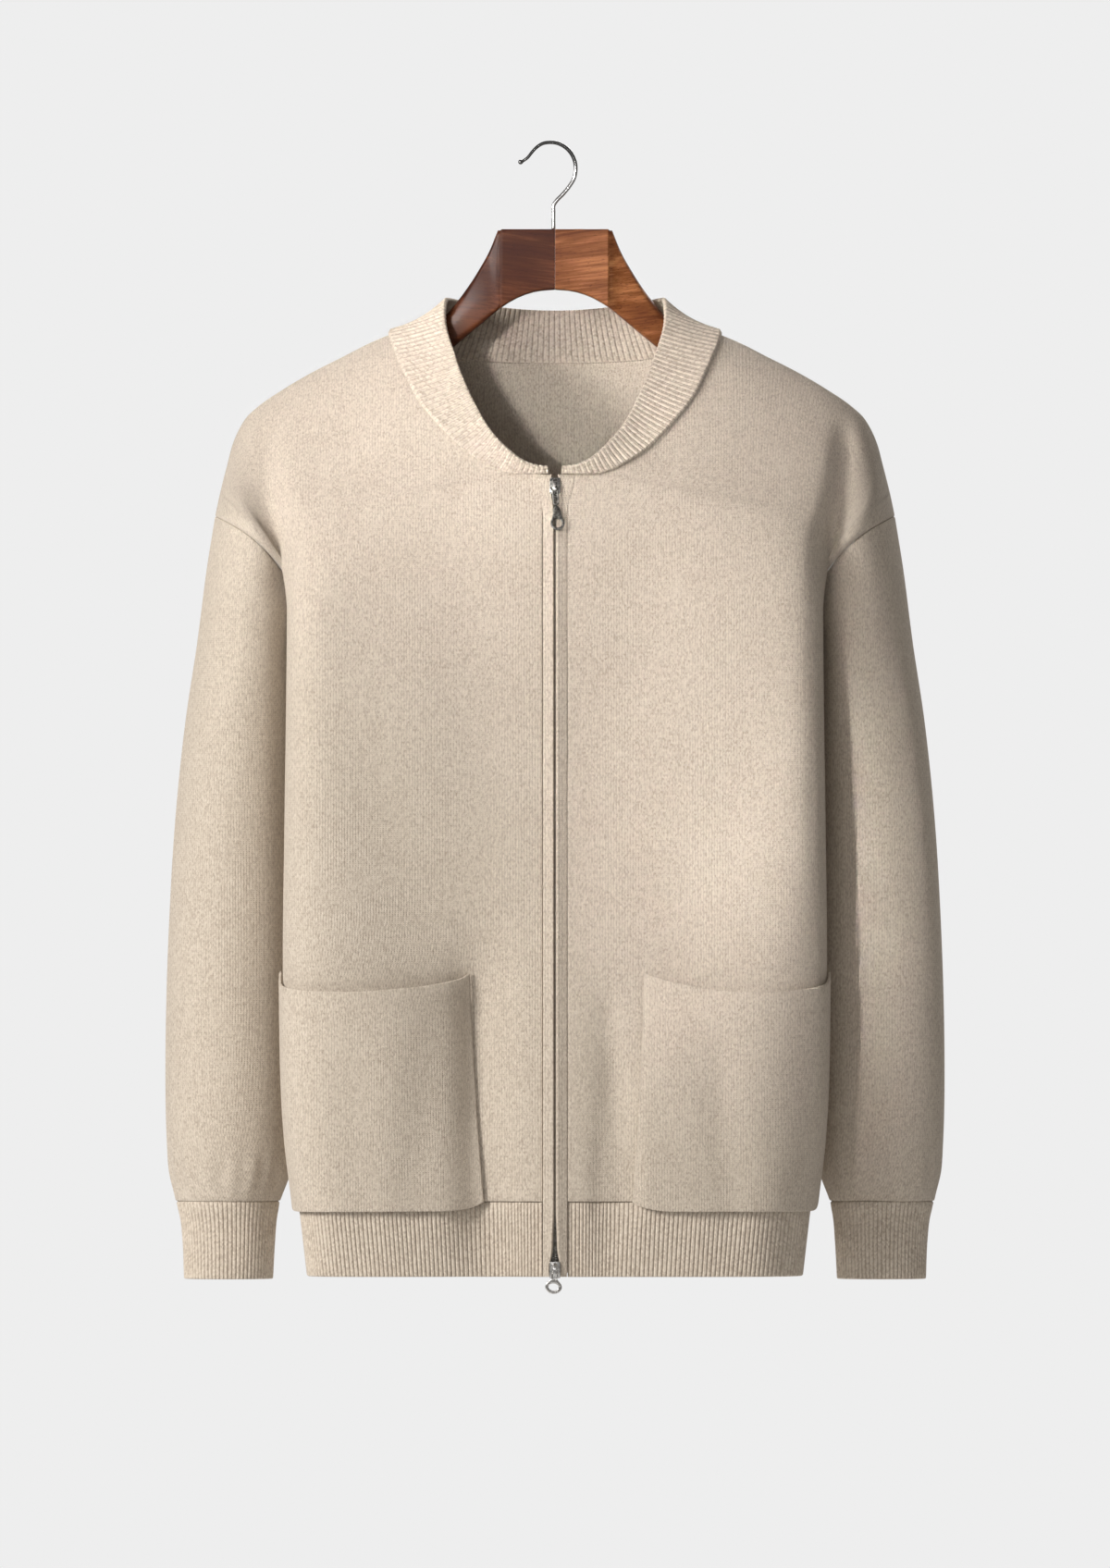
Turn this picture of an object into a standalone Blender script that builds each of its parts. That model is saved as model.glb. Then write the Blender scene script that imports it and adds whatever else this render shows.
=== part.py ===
"""Zip-up cardigan of heathered knit on a wooden coat hanger.

Frame: +X is the wearer's left (the viewer's right from the front), +Y the back, +Z up.
The origin is the inside top of the hanger's hook. Tables and sizes are in millimetres,
and every solid is scaled to metres as its mesh is made.
"""
import math

import bmesh
import bpy
import numpy as np
from mathutils import Matrix, Vector

MM = 0.001

# ---------------------------------------------------------------- driving dimensions

CLOTH = 2.4                     # wall of the plain knit
RIB_CLOTH = 2.6                 # wall of the rib knit under its ribs
RIB_RAISE = 0.9                 # height of a rib over the hollow beside it
HEM_DRAWN_IN = 1.0              # how far the hem rib draws in from the panels
SEAM_GAP = 0.3                  # distance between two pieces at a seam

UNDERARM = -345.0               # height of the underarm point
HEM_TOP = -776.0                # seam between the panels and the hem rib
HEM_BOTTOM = -831.0
ZIP_BAND_EDGE = 9.0             # from the zip's middle to the edge of its facing band
CHAIN_HALF = 1.4                # half width of the closed zip chain

SQUARENESS = 3.0                # exponent of the body's rounded outline in plan
SIDE_TURN = math.radians(113)   # the side seam, behind the widest line of the body
FOLD_TURN = math.radians(10)    # how soon behind the widest line the side lies flat
SIDE_SOFTNESS = 3.0             # roundness where the flat side meets the back

HEM_RIBS_FRONT = 72             # ribs in half the front hem
HEM_RIBS_BACK = 152             # ribs in the whole back hem
NECK_RIBS = 160
CUFF_RIBS = 64

FRONT_ROUND = 260.0             # about the way round a front, from the zip to the side seam
YOKE_HEIGHT = 110.0             # about the height of the wall over the underarm


def table(columns, rows):
    """Named columns from short rows of numbers."""
    return dict(zip(columns.split(), np.array(rows, float).T))


# Body in plan at each height, from the hem up: half width, how far the front and back
# stand from the middle, how far forward the widest line lies, and how much the hanging
# arm presses the side flat behind it.
TORSO = table("height half_width front back fold press", [
    (-831, 183.0, 92, 86, -34, 5),
    (-776, 189.5, 98, 91, -37, 9),
    (-740, 194.5, 101, 94, -40, 12),
    (-614, 199.5, 105, 98, -45, 15),
    (-505, 198.5, 107, 100, -48, 15),
    (-400, 197.0, 107, 99, -52, 14),
    (-345, 196.5, 105, 96, -56, 13),
])

# Ridge of the shoulder from the neck out and down to the top of the armhole.
SHOULDER = table("across depth height", [
    (120.4, 4, -139.2),
    (136.0, 4, -145.8),
    (156.0, 4, -156.0),
    (177.0, 5, -166.6),
    (199.2, 5, -179.5),
    (219.0, 6, -193.1),
    (226.6, 6, -200.2),
    (231.6, 6, -208.0),
    (237.0, 6, -220.3),
    (240.6, 6, -233.9),
    (247.0, 6, -259.5),
    (249.9, 6, -273.4),
])

# Neck rib from the zip round to the centre back: its seam and its free edge.
NECK = table("seam_x seam_y seam_z edge_x edge_y edge_z", [
    (4.4, -86.5, -243.2, 4.6, -89.5, -236.9),
    (20.0, -86.0, -243.3, 15.0, -89.0, -235.5),
    (34.0, -84.0, -242.6, 24.0, -87.0, -231.8),
    (47.6, -80.0, -236.8, 33.0, -83.0, -225.0),
    (63.2, -73.0, -227.1, 43.5, -75.5, -214.6),
    (85.7, -60.0, -205.4, 58.5, -59.0, -190.8),
    (99.3, -48.0, -188.4, 67.0, -47.0, -172.0),
    (108.1, -36.0, -171.5, 73.0, -36.0, -155.0),
    (115.6, -21.0, -154.5, 79.0, -23.0, -134.0),
    (120.4, 4.0, -139.2, 78.5, -3.0, -117.0),
    (114.0, 24.0, -144.0, 75.0, 16.0, -115.6),
    (97.0, 43.0, -151.0, 66.0, 32.0, -117.2),
    (71.0, 55.0, -156.5, 50.0, 44.0, -119.6),
    (40.0, 61.0, -159.0, 28.0, 51.0, -122.0),
    (0.0, 62.5, -159.8, 0.0, 54.5, -123.1),
])
NECK_AT_SHOULDER = 9            # the row of NECK where the shoulder seam meets it
NECK_ROLL = 1.2                 # how far the neck rib rounds out between its edges
NECK_BAND_WIDTH = 44.0          # about the width of the neck rib

# Sleeve from the armhole down. Each row is a tilted oval: its middle, half sizes, the
# slope of its plane towards the body, and the sag of the underarm below that plane.
SLEEVE = table("height centre_x half_x centre_y half_y slope sag", [
    (-289.7, 0, 0, 5, 72, 0.51, 0),
    (-330.0, 222.5, 34.0, 8, 71, 0.45, 30),
    (-380.0, 225.8, 37.5, 13, 68, 0.35, 16),
    (-440.0, 230.2, 42.4, 18, 64, 0.25, 6),
    (-510.0, 233.8, 46.2, 22, 60, 0.15, 2),
    (-590.0, 236.4, 48.2, 23, 56, 0.10, 0),
    (-660.0, 238.2, 48.4, 23, 53, 0.06, 0),
    (-720.0, 238.7, 47.6, 22, 50, 0.03, 0),
    (-751.0, 238.6, 45.1, 21, 46, 0.01, 0),
    (-777.0, 240.6, 38.4, 20, 39, 0.00, 0),
])
CUFF = table("height centre_x half_x centre_y half_y", [
    (-834.0, 240.2, 32.8, 19, 31.5),
    (-805.0, 240.0, 34.2, 19, 33.5),
    (-790.0, 240.2, 35.6, 20, 35.5),
    (-777.0, 240.6, 38.4, 20, 39.0),
])
CUFF_TOP = -777.0
CUFF_BOTTOM = -834.0

# Soft hollows pressed into the front, each along a straight line in the front view.
HOLLOWS = table("x1 z1 x2 z2 width depth", [
    (213, -226, 199, -306, 9, 10),
    (-212, -226, -199, -306, 10, 8),
    (46, -690, 49, -770, 11, 4),
    (-67, -640, -60, -772, 14, 5),
    (-92, -660, -104, -760, 18, 3),
    (118, -690, 128, -770, 16, 3),
])

# Patch pockets: the mouth droops between its ends, and the inner side leans.
POCKET_WALL = 2.2
POCKET_STAND = 0.7              # clear space between a pocket and the panel at its seams
POCKET_MOUTH = -607.6
POCKET_DROOP = 14.0
POCKET_BOTTOM = -783.0
POCKET_CORNER = 7.0
POCKET_OVER_HEM = 1.2           # how far the pocket's lower edge stands over the hem rib
POCKET_FULLNESS = 7.5           # most of all a third of the way out, where the pocket swells
SWELL_TOP = 5.5
POCKET_INNER = {1: (57.2, 65.3), -1: (51.4, 62.6)}   # from the middle, at bottom and mouth
POCKET_OUTER = {1: 0.770, -1: 0.815}                 # share of the way round to the side seam

# Hanger arm stations from the glued middle joint out to the tip.
ARM = table("across top bottom half_depth centre corner", [
    (0.15, -62.6, -106.8, 14.0, 0.0, 1.6),
    (14.0, -62.6, -108.2, 14.0, 0.0, 1.6),
    (28.0, -62.6, -113.0, 14.0, 0.0, 1.6),
    (39.0, -62.6, -119.6, 14.0, 0.0, 1.6),
    (42.0, -63.4, -121.8, 12.2, 1.4, 3.2),
    (47.5, -77.0, -126.4, 11.4, 2.8, 4.0),
    (56.0, -92.5, -133.6, 11.0, 4.0, 5.0),
    (69.0, -111.8, -144.4, 10.6, 5.2, 6.6),
    (80.0, -125.0, -153.2, 10.0, 5.8, 7.5),
    (100.0, -136.6, -165.8, 8.6, 6.0, 7.5),
    (120.0, -144.2, -175.0, 8.4, 6.0, 7.5),
])
ARM_SEAT = 1.2                  # clear height between the arm's ridge and the cloth on it
ARM_SEATED = (124.0, 200.0)     # stretch of the arm that carries the shoulder
SHOULDER_PITCH = math.radians(30)
ARM_TIP = 212.0
ARM_HEIGHT = 32.0
ARM_HALF_DEPTH = 8.0
ARM_ROUND = 7.5
ARM_BACK = 0.9                  # the arm lies this far behind the shoulder seam

HOOK_WIRE = 2.9
# Middle line of the hook's wire in the front view, from the ball tip to the end in the wood.
HOOK_ROUTE = table("x z", [
    (-27.0, -13.4),
    (-25.0, -12.9),
    (-20.6, -10.2),
    (-16.6, -5.4),
    (-13.5, -2.2),
    (-9.2, 0.5),
    (-3.5, 1.45),
    (2.2, 0.7),
    (7.0, -1.7),
    (11.3, -5.8),
    (14.1, -11.0),
    (15.1, -15.4),
    (15.1, -19.8),
    (14.1, -24.7),
    (10.8, -30.5),
    (6.1, -36.3),
    (0.7, -42.0),
    (-0.9, -44.6),
    (-1.1, -50.0),
    (-1.1, -62.3),
])
# The wire's size against its usual one, at a distance from the tip: a ball, then a thin neck.
HOOK_SIZES = table("distance size", [
    (0.0, 0.35),
    (0.4, 0.90),
    (1.2, 1.25),
    (2.2, 1.25),
    (3.0, 0.90),
    (3.8, 0.74),
    (14.0, 0.78),
    (40.0, 1.00),
])

# ---------------------------------------------------------------- curves and surfaces


def smooth(at, knots, values):
    """Cubic curve through the values at the knots."""
    at = np.asarray(at, float)
    slope = np.gradient(values, knots)
    cell = np.clip(np.searchsorted(knots, at) - 1, 0, len(knots) - 2)
    span = knots[cell + 1] - knots[cell]
    t = (at - knots[cell]) / span
    rise = (2 * t**3 - 3 * t**2 + 1) * values[cell] + (3 * t**2 - 2 * t**3) * values[cell + 1]
    lean = (t**3 - 2 * t**2 + t) * slope[cell] + (t**3 - t**2) * slope[cell + 1]
    return rise + span * lean


def step(value):
    """Smooth step from 0 to 1."""
    value = np.clip(value, 0, 1)
    return value * value * (3 - 2 * value)


def xyz(x, y, z):
    return np.stack(np.broadcast_arrays(x, y, z), axis=-1).astype(float)


def mix(first, second, share):
    share = np.asarray(share, float)[..., None]
    return first * (1 - share) + second * share


class Path:
    """A curve through points, read by its share of the length."""

    def __init__(self, points, fine=400):
        points = np.asarray(points, float)
        knots = self.lengths(points)
        at = np.linspace(0, knots[-1], fine)
        self.points = np.stack([smooth(at, knots, points[:, axis]) for axis in range(3)], axis=-1)
        self.along = self.lengths(self.points)
        self.length = self.along[-1]

    @staticmethod
    def lengths(points):
        steps = np.linalg.norm(np.diff(points, axis=0), axis=1)
        return np.concatenate([[0.0], np.cumsum(steps)])

    def share_of(self, point):
        """Share of the length at which the curve passes a point."""
        nearest = np.argmin(np.linalg.norm(self.points - point, axis=1))
        return self.along[nearest] / self.length

    def __call__(self, share):
        at = np.asarray(share, float) * self.length
        return np.stack([np.interp(at, self.along, self.points[:, axis]) for axis in range(3)],
                        axis=-1)


def ring(turn, height):
    """Outer wall of the body below the arm: turn 0 is the centre front, pi the centre back."""
    height = np.asarray(height, float)
    size = {name: smooth(height, TORSO["height"], TORSO[name]) for name in TORSO if name != "height"}
    power = 2 / SQUARENESS
    across = np.abs(np.sin(turn))**power
    forward = np.abs(np.cos(turn))**power
    depth = np.where(np.cos(turn) > 0, -size["front"], size["back"])
    round_x = size["half_width"] * across
    flat_x = size["half_width"] - size["press"]
    pressed = -SIDE_SOFTNESS * np.logaddexp(-round_x / SIDE_SOFTNESS, -flat_x / SIDE_SOFTNESS)
    x = round_x + (pressed - round_x) * step((turn - math.pi / 2) / FOLD_TURN)
    y = depth * forward + size["fold"] * np.sin(turn)**2
    return xyz(x, y, height)


def even_turns(start, end, samples=600):
    """Turns from start to end whose points lie evenly along the ring."""
    turns = start + (end - start) * np.linspace(0, 1, samples)**2
    along = Path.lengths(ring(turns, np.full(samples, -500.0)))
    return along / along[-1], turns


def body_ring(share, height, face):
    """Point of the body at a share of the way from the centre seam to the side seam."""
    points = ring(turn_at(share, face), height)
    if face > 0:
        points[..., 0] += ZIP_BAND_EDGE * step(1 - np.asarray(share) * 6)
    return points


FRONT_TURNS = even_turns(0.0, SIDE_TURN)
BACK_TURNS = even_turns(math.pi, SIDE_TURN)


def turn_at(share, face):
    """Turn at a share of the way from the centre to the side seam; face 1 front, -1 back."""
    shares, turns = FRONT_TURNS if face > 0 else BACK_TURNS
    return np.interp(share, shares, turns)


def share_at(across, height, face=1):
    """Share of the way round at which the wall lies this far from the middle."""
    shares = np.linspace(0, 0.78, 240)
    line = ring(turn_at(shares, face), np.full(shares.shape, float(height)))
    return float(np.interp(across, line[:, 0], shares))


ARMHOLE_LOW = ring(np.array(SIDE_TURN), UNDERARM)
ARMHOLE_TOP = np.array([SHOULDER[name][-1] for name in ("across", "depth", "height")])
SLEEVE["centre_x"][0] = (ARMHOLE_TOP[0] + ARMHOLE_LOW[0]) / 2
SLEEVE["half_x"][0] = (ARMHOLE_TOP[0] - ARMHOLE_LOW[0]) / 2
SLEEVE["height"][0] = ARMHOLE_TOP[2] - SLEEVE["half_x"][0] * SLEEVE["slope"][0]
SLEEVE["sag"][0] = (SLEEVE["height"][0] - SLEEVE["half_x"][0] * SLEEVE["slope"][0]
                    - ARMHOLE_LOW[2])
SLEEVE_ROWS = np.arange(len(SLEEVE["height"]), dtype=float)


def sleeve(turn, row):
    """Outer wall of the sleeve: turn 0 outside, pi/2 in front, pi underarm."""
    size = {name: smooth(row, SLEEVE_ROWS, SLEEVE[name]) for name in SLEEVE}
    inward = (1 - np.cos(turn)) / 2
    x = size["centre_x"] + size["half_x"] * np.cos(turn)
    y = size["centre_y"] - size["half_y"] * np.sin(turn)
    z = (size["height"] + size["half_x"] * size["slope"] * np.cos(turn)
         - size["sag"] * inward**3)
    return xyz(x, y, z)


def cuff(turn, height):
    size = {name: smooth(height, CUFF["height"], CUFF[name]) for name in CUFF}
    x = size["centre_x"] + size["half_x"] * np.cos(turn)
    y = size["centre_y"] - size["half_y"] * np.sin(turn)
    return xyz(x, y, height)


NECK_SEAM = np.stack([NECK["seam_x"], NECK["seam_y"], NECK["seam_z"]], axis=-1)
NECK_EDGE = np.stack([NECK["edge_x"], NECK["edge_y"], NECK["edge_z"]], axis=-1)
SHOULDER_LINE = Path(np.stack([SHOULDER["across"], SHOULDER["depth"], SHOULDER["height"]], axis=-1))
SHOULDER_REACH = {1: (118.0, 92.0), -1: (92.0, 84.0)}    # roundness over the ridge, neck and arm
CENTRE_BULGE = {1: 2.5, -1: 7.0}                         # fullness of the centre line, above
YOKE_RISE = 120.0                                        # how long the wall goes on upright


def neck_side(face):
    """Path of a panel's inner boundary: up the centre, then along the neck seam."""
    seam = Path(NECK_SEAM, 1200)
    shoulder = seam.share_of(NECK_SEAM[NECK_AT_SHOULDER])
    if face > 0:
        corner = NECK_SEAM[0].copy()
        corner[0] = ZIP_BAND_EDGE
        first = seam.share_of(NECK_SEAM[1])
        over = np.vstack([corner[None], seam(np.linspace(first, shoulder, 40))])
    else:
        corner = NECK_SEAM[-1]
        over = seam(np.linspace(1, shoulder, 40))
    start = body_ring(np.array(0.0), UNDERARM, face)
    upright = mix(start, corner, np.linspace(0, 1, 5))
    upright[:, 1] -= face * CENTRE_BULGE[face] * np.sin(np.linspace(0, math.pi, 5))
    return Path(upright), Path(over)


NECK_SIDES = {face: neck_side(face) for face in (1, -1)}
NECK_CORNER = {face: up.length / (up.length + seam.length)
               for face, (up, seam) in NECK_SIDES.items()}


def inner_boundary(rise, face):
    upright, seam = NECK_SIDES[face]
    corner = NECK_CORNER[face]
    low = upright(np.clip(rise / corner, 0, 1))
    high = seam(np.clip((rise - corner) / (1 - corner), 0, 1))
    return np.where((rise < corner)[..., None], low, high)


def armhole_path(face):
    """Half of the armhole from the underarm to its top, and the sleeve's turns along it."""
    turns = np.linspace(math.pi, 0, 200)
    points = sleeve(face * turns, np.zeros(200))
    path = Path(points)
    return path, path.lengths(points) / path.lengths(points)[-1], turns


ARMHOLES = {face: armhole_path(face) for face in (1, -1)}


def yoke(share, rise, face):
    """Outer wall above the underarm, from the ring (rise 0) to the shoulder ridge (rise 1)."""
    near, far = SHOULDER_REACH[face]

    def column(at):
        """A wall line that leaves the ring upright and comes over the ridge level."""
        base = body_ring(at, np.full(np.shape(at), UNDERARM), face)
        below = body_ring(at, np.full(np.shape(at), UNDERARM - 30), face)
        upward = (base - below) / 30 * YOKE_RISE
        over = xyz(0 * at, face * (near + (far - near) * at), 0 * at)
        r = rise[..., None]
        return ((2 * r**3 - 3 * r**2 + 1) * base + (r**3 - 2 * r**2 + r) * upward
                + (3 * r**2 - 2 * r**3) * SHOULDER_LINE(at) + (r**3 - r**2) * over)

    body = column(share)
    near_weight = step(1 - share)[..., None]
    far_weight = step((share - 0.62) / 0.38)[..., None]
    body = body + near_weight * (inner_boundary(rise, face) - column(0 * share))
    return body + far_weight * (ARMHOLES[face][0](rise) - column(0 * share + 1))


def hollows(points):
    """Press the soft hollows into points that face the front."""
    forward = step(-points[..., 1] / 45)
    push = np.zeros(points.shape[:-1])
    for x1, z1, x2, z2, width, depth in zip(*HOLLOWS.values()):
        line = np.array([x2 - x1, z2 - z1])
        size = np.dot(line, line)
        along = ((points[..., 0] - x1) * line[0] + (points[..., 2] - z1) * line[1]) / size
        near = np.clip(along, 0, 1)
        off_x = points[..., 0] - x1 - near * line[0]
        off_z = points[..., 2] - z1 - near * line[1]
        push += depth * np.exp(-off_x**2 / width**2 - off_z**2 / (2.5 * width)**2)
    moved = points.copy()
    moved[..., 1] += forward * push
    return moved


def panel(share, level, face, side):
    """Front or back panel: level -1 at the hem seam, 0 at the underarm, 1 at the shoulder."""
    share, level = np.broadcast_arrays(np.asarray(share, float), np.asarray(level, float))
    height = UNDERARM + np.minimum(level, 0) * (UNDERARM - HEM_TOP)
    lower = body_ring(share, height, face)
    upper = yoke(share, np.clip(level, 0, 1.02), face)
    points = np.where((level < 0)[..., None], lower, upper)
    points[..., 0] *= side
    return hollows(points)


def sleeve_point(turn, row, side):
    points = sleeve(turn, row)
    points[..., 0] *= side
    return hollows(points)


def band_between(first, second, share, across, roll):
    """Rounded band between two paths, rolled out from the neck's own middle line."""
    low, high = first(share), second(share)
    middle = (low + high) / 2
    chord = high - low
    around = first(share + 0.004) - first(share - 0.004)
    outward = np.cross(around, chord)
    outward /= np.linalg.norm(outward, axis=-1, keepdims=True)
    bow = middle + outward * roll * 2
    a = across[..., None]
    return (1 - a)**2 * low + 2 * a * (1 - a) * bow + a**2 * high


def offset(surface, u, v, distance, flip=1.0, small=(1e-3, 1e-3), rims=()):
    """Points of a surface and the same points moved along its outward normal.

    Each rim names a row or column and the way across its seam: there the wall is cut square.
    """
    points = surface(u, v)
    along_u = surface(u + small[0], v) - surface(u - small[0], v)
    along_v = surface(u, v + small[1]) - surface(u, v - small[1])
    normal = np.cross(along_u, along_v) * flip
    for where, across in rims:
        way = np.array(across) / np.linalg.norm(across)
        normal[where] -= (normal[where] @ way)[..., None] * way
    normal /= np.maximum(np.linalg.norm(normal, axis=-1, keepdims=True), 1e-9)
    return points, points + normal * np.asarray(distance, float)[..., None]


# ---------------------------------------------------------------- materials and meshes

MATERIALS = {
    "knit_plain": ((0.62, 0.535, 0.44), 0.95, 0.0),
    "knit_rib": ((0.60, 0.515, 0.425), 0.95, 0.0),
    "zip_metal": ((0.20, 0.19, 0.18), 0.35, 1.0),
    "zip_nickel": ((0.62, 0.60, 0.57), 0.28, 1.0),
    "zip_tape": ((0.16, 0.145, 0.13), 0.6, 0.3),
    "hanger_wood": ((0.20, 0.055, 0.022), 0.28, 0.0),
    "hook_steel": ((0.70, 0.70, 0.70), 0.18, 1.0),
}


def material(name, finish):
    """One Principled material for one part."""
    colour, roughness, metallic = MATERIALS[finish]
    made = bpy.data.materials.new(f"{name}_{finish}")
    made.use_nodes = True
    shader = made.node_tree.nodes["Principled BSDF"]
    shader.inputs["Base Color"].default_value = (*colour, 1)
    shader.inputs["Roughness"].default_value = roughness
    shader.inputs["Metallic"].default_value = metallic
    made.diffuse_color = (*colour, 1)
    return made


def clear_scene():
    for item in list(bpy.data.objects):
        bpy.data.objects.remove(item, do_unlink=True)


def new_collection(name):
    made = bpy.data.collections.new(name)
    bpy.context.scene.collection.children.link(made)
    return made


def put(name, mesh, finish, collection):
    item = bpy.data.objects.new(name, mesh)
    mesh.materials.clear()
    mesh.materials.append(material(name, finish))
    collection.objects.link(item)
    return item


def mesh_of(name, points, faces):
    """Closed mesh in metres with its faces pointing out."""
    bm = bmesh.new()
    vertices = [bm.verts.new([float(value) * MM for value in point]) for point in points]
    for face in faces:
        bm.faces.new([vertices[index] for index in face])
    bmesh.ops.recalc_face_normals(bm, faces=bm.faces)
    mesh = bpy.data.meshes.new(name)
    bm.to_mesh(mesh)
    bm.free()
    mesh.shade_smooth()
    mesh.set_sharp_from_angle(angle=math.radians(50))
    return mesh


def cloth_wall(name, grids, finish, collection):
    """Wall from grids of outer and inner points, which share the points where they meet."""
    pairs = {}
    quads = []
    for outer, inner in grids:
        rows, columns = outer.shape[:2]
        index = np.empty((rows, columns), int)
        for row in range(rows):
            for column in range(columns):
                key = tuple(np.round(outer[row, column], 3) + 0.0)
                pair = pairs.setdefault(key, (len(pairs), outer[row, column], inner[row, column]))
                index[row, column] = pair[0]
        for row in range(rows - 1):
            for column in range(columns - 1):
                quads.append((index[row, column], index[row, column + 1],
                              index[row + 1, column + 1], index[row + 1, column]))
    count = len(pairs)
    ordered = sorted(pairs.values(), key=lambda pair: pair[0])
    points = [pair[1] for pair in ordered] + [pair[2] for pair in ordered]
    edges = {}
    for quad in quads:
        for first, second in zip(quad, quad[1:] + quad[:1]):
            edges[first, second] = True
    rims = [(second, first, first + count, second + count)
            for first, second in edges if (second, first) not in edges]
    inside = [tuple(index + count for index in reversed(quad)) for quad in quads]
    return put(name, mesh_of(name, points, quads + inside + rims), finish, collection)


def strip(first, second):
    """Triangles between two lines of unlike point counts that run side by side."""
    made = []
    i = j = 0
    while i < len(first) - 1 or j < len(second) - 1:
        step_first = (i + 1) / (len(first) - 1)
        step_second = (j + 1) / (len(second) - 1)
        if j == len(second) - 1 or (i < len(first) - 1 and step_first <= step_second):
            made.append((first[i], first[i + 1], second[j]))
            i += 1
        else:
            made.append((first[i], second[j + 1], second[j]))
            j += 1
    return made


def rib_wall(name, outer, inner, closed, finish, collection):
    """Wall whose outer grid is ribbed and fine and whose inner grid is plain and coarse."""
    points = []
    faces = []
    indices = []
    for grid in (outer, inner):
        rows, columns = grid.shape[:2]
        kept = columns - 1 if closed else columns
        index = len(points) + np.arange(rows * kept).reshape(rows, kept)
        points.extend(grid[:, :kept].reshape(-1, 3))
        if closed:
            index = np.hstack([index, index[:, :1]])
        indices.append(index)
        for row in range(rows - 1):
            for column in range(columns - 1):
                faces.append((index[row, column], index[row, column + 1],
                              index[row + 1, column + 1], index[row + 1, column]))
    out, plain = indices
    faces += strip(out[0], plain[0]) + strip(out[-1], plain[-1])
    if not closed:
        faces += strip(out[:, 0], plain[:, 0]) + strip(out[:, -1], plain[:, -1])
    return put(name, mesh_of(name, points, faces), finish, collection)


def loft(name, sections, finish, collection):
    """Closed bar through sections of equal point counts, with flat ends."""
    rows, columns = sections.shape[:2]
    index = np.arange(rows * columns).reshape(rows, columns)
    faces = []
    for row in range(rows - 1):
        for column in range(columns):
            after = (column + 1) % columns
            faces.append((index[row, column], index[row, after],
                          index[row + 1, after], index[row + 1, column]))
    faces += [tuple(index[0]), tuple(index[-1])]
    return put(name, mesh_of(name, sections.reshape(-1, 3), faces), finish, collection)


# ---------------------------------------------------------------- knitted pieces

PANEL_COLUMNS = 12
BODY_ROWS = 8
YOKE_ROWS = 11
SLEEVE_SPANS = 13


def panel_levels(face):
    """Rows of a panel, with one on the corner of the neck."""
    below = np.linspace(-1, 0, BODY_ROWS + 1)[:-1]
    corner = NECK_CORNER[face]
    first = round(YOKE_ROWS * corner)
    up = np.linspace(0, corner, first + 1)
    over = np.linspace(corner, 1, YOKE_ROWS - first + 1)[1:]
    return np.concatenate([below, up, over]), BODY_ROWS + first


FIRST_ROW = np.s_[0]
LAST_ROW = np.s_[-1]
ARM_SLOPE = SLEEVE["slope"][0]


def panel_grid(face, side, shares, levels):
    u, v = np.meshgrid(shares, levels)
    rims = [(np.s_[BODY_ROWS + 1:, -1], (ARM_SLOPE * side, 0, -1)), (FIRST_ROW, (0, 0, 1)),
            (LAST_ROW, (0, 1, 0))]
    return offset(lambda a, b: panel(a, b, face, side), u, v, np.full(u.shape, -CLOTH),
                  side * face, rims=rims)


def trimmed_levels(levels):
    """Move the first and last row back from the hem and shoulder seams by half a gap."""
    moved = levels.copy()
    moved[0] += SEAM_GAP / 2 / (UNDERARM - HEM_TOP)
    moved[-1] -= SEAM_GAP / 2 / YOKE_HEIGHT
    return moved


def make_fronts(collection):
    levels, _ = panel_levels(1)
    shares = np.linspace(0, 1, PANEL_COLUMNS + 1)
    shares[0] = SEAM_GAP / 2 / FRONT_ROUND
    shares[-1] = 1 - SEAM_GAP / 2 / FRONT_ROUND
    for side, name in ((1, "front_left"), (-1, "front_right")):
        grid = panel_grid(1, side, shares, trimmed_levels(levels))
        cloth_wall(name, [grid], "knit_plain", collection)


def make_back(collection):
    """One panel across the back; above the neck seam it parts into two shoulders."""
    levels, corner = panel_levels(-1)
    levels = trimmed_levels(levels)
    shares = np.linspace(0, 1, PANEL_COLUMNS + 1)
    shares[-1] = 1 - SEAM_GAP / 2 / FRONT_ROUND
    grids = []
    for side in (1, -1):
        outer, inner = panel_grid(-1, side, shares, levels)
        inner[:corner + 1, 0, 0] = 0.0
        outer[:corner + 1, 0, 0] = 0.0
        grids.append((outer[:, ::side], inner[:, ::side]))
    cloth_wall("back", grids, "knit_plain", collection)


def sleeve_turns():
    """Turns of the sleeve's columns, which start at the panels' own rows on the armhole."""
    turns = {}
    for face in (1, -1):
        levels, _ = panel_levels(face)
        _, shares, along = ARMHOLES[face]
        turns[face] = np.interp(levels[BODY_ROWS:], shares, along)
    return np.concatenate([turns[1][::-1], 2 * math.pi - turns[-1][1:]])


def make_sleeves(collection):
    turns = sleeve_turns()
    rows = np.linspace(0, SLEEVE_ROWS[-1], SLEEVE_SPANS + 1)
    rows[0] = SEAM_GAP / 2 / 40
    rows[-1] -= SEAM_GAP / 2 / 26
    u, v = np.meshgrid(turns, rows)
    for side, name in ((1, "sleeve_left"), (-1, "sleeve_right")):
        rims = [(FIRST_ROW, (ARM_SLOPE * side, 0, -1)), (LAST_ROW, (0, 0, 1))]
        grid = offset(lambda a, b: sleeve_point(a, b, side), u, v,
                      np.full(u.shape, -CLOTH), side, rims=rims)
        cloth_wall(name, [grid], "knit_plain", collection)


def rib_offsets(columns, drawn_in=0.0):
    """Every second column stands up as a rib."""
    return np.where(np.arange(columns) % 2 == 1, 0.0, -RIB_RAISE) - drawn_in


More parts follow.
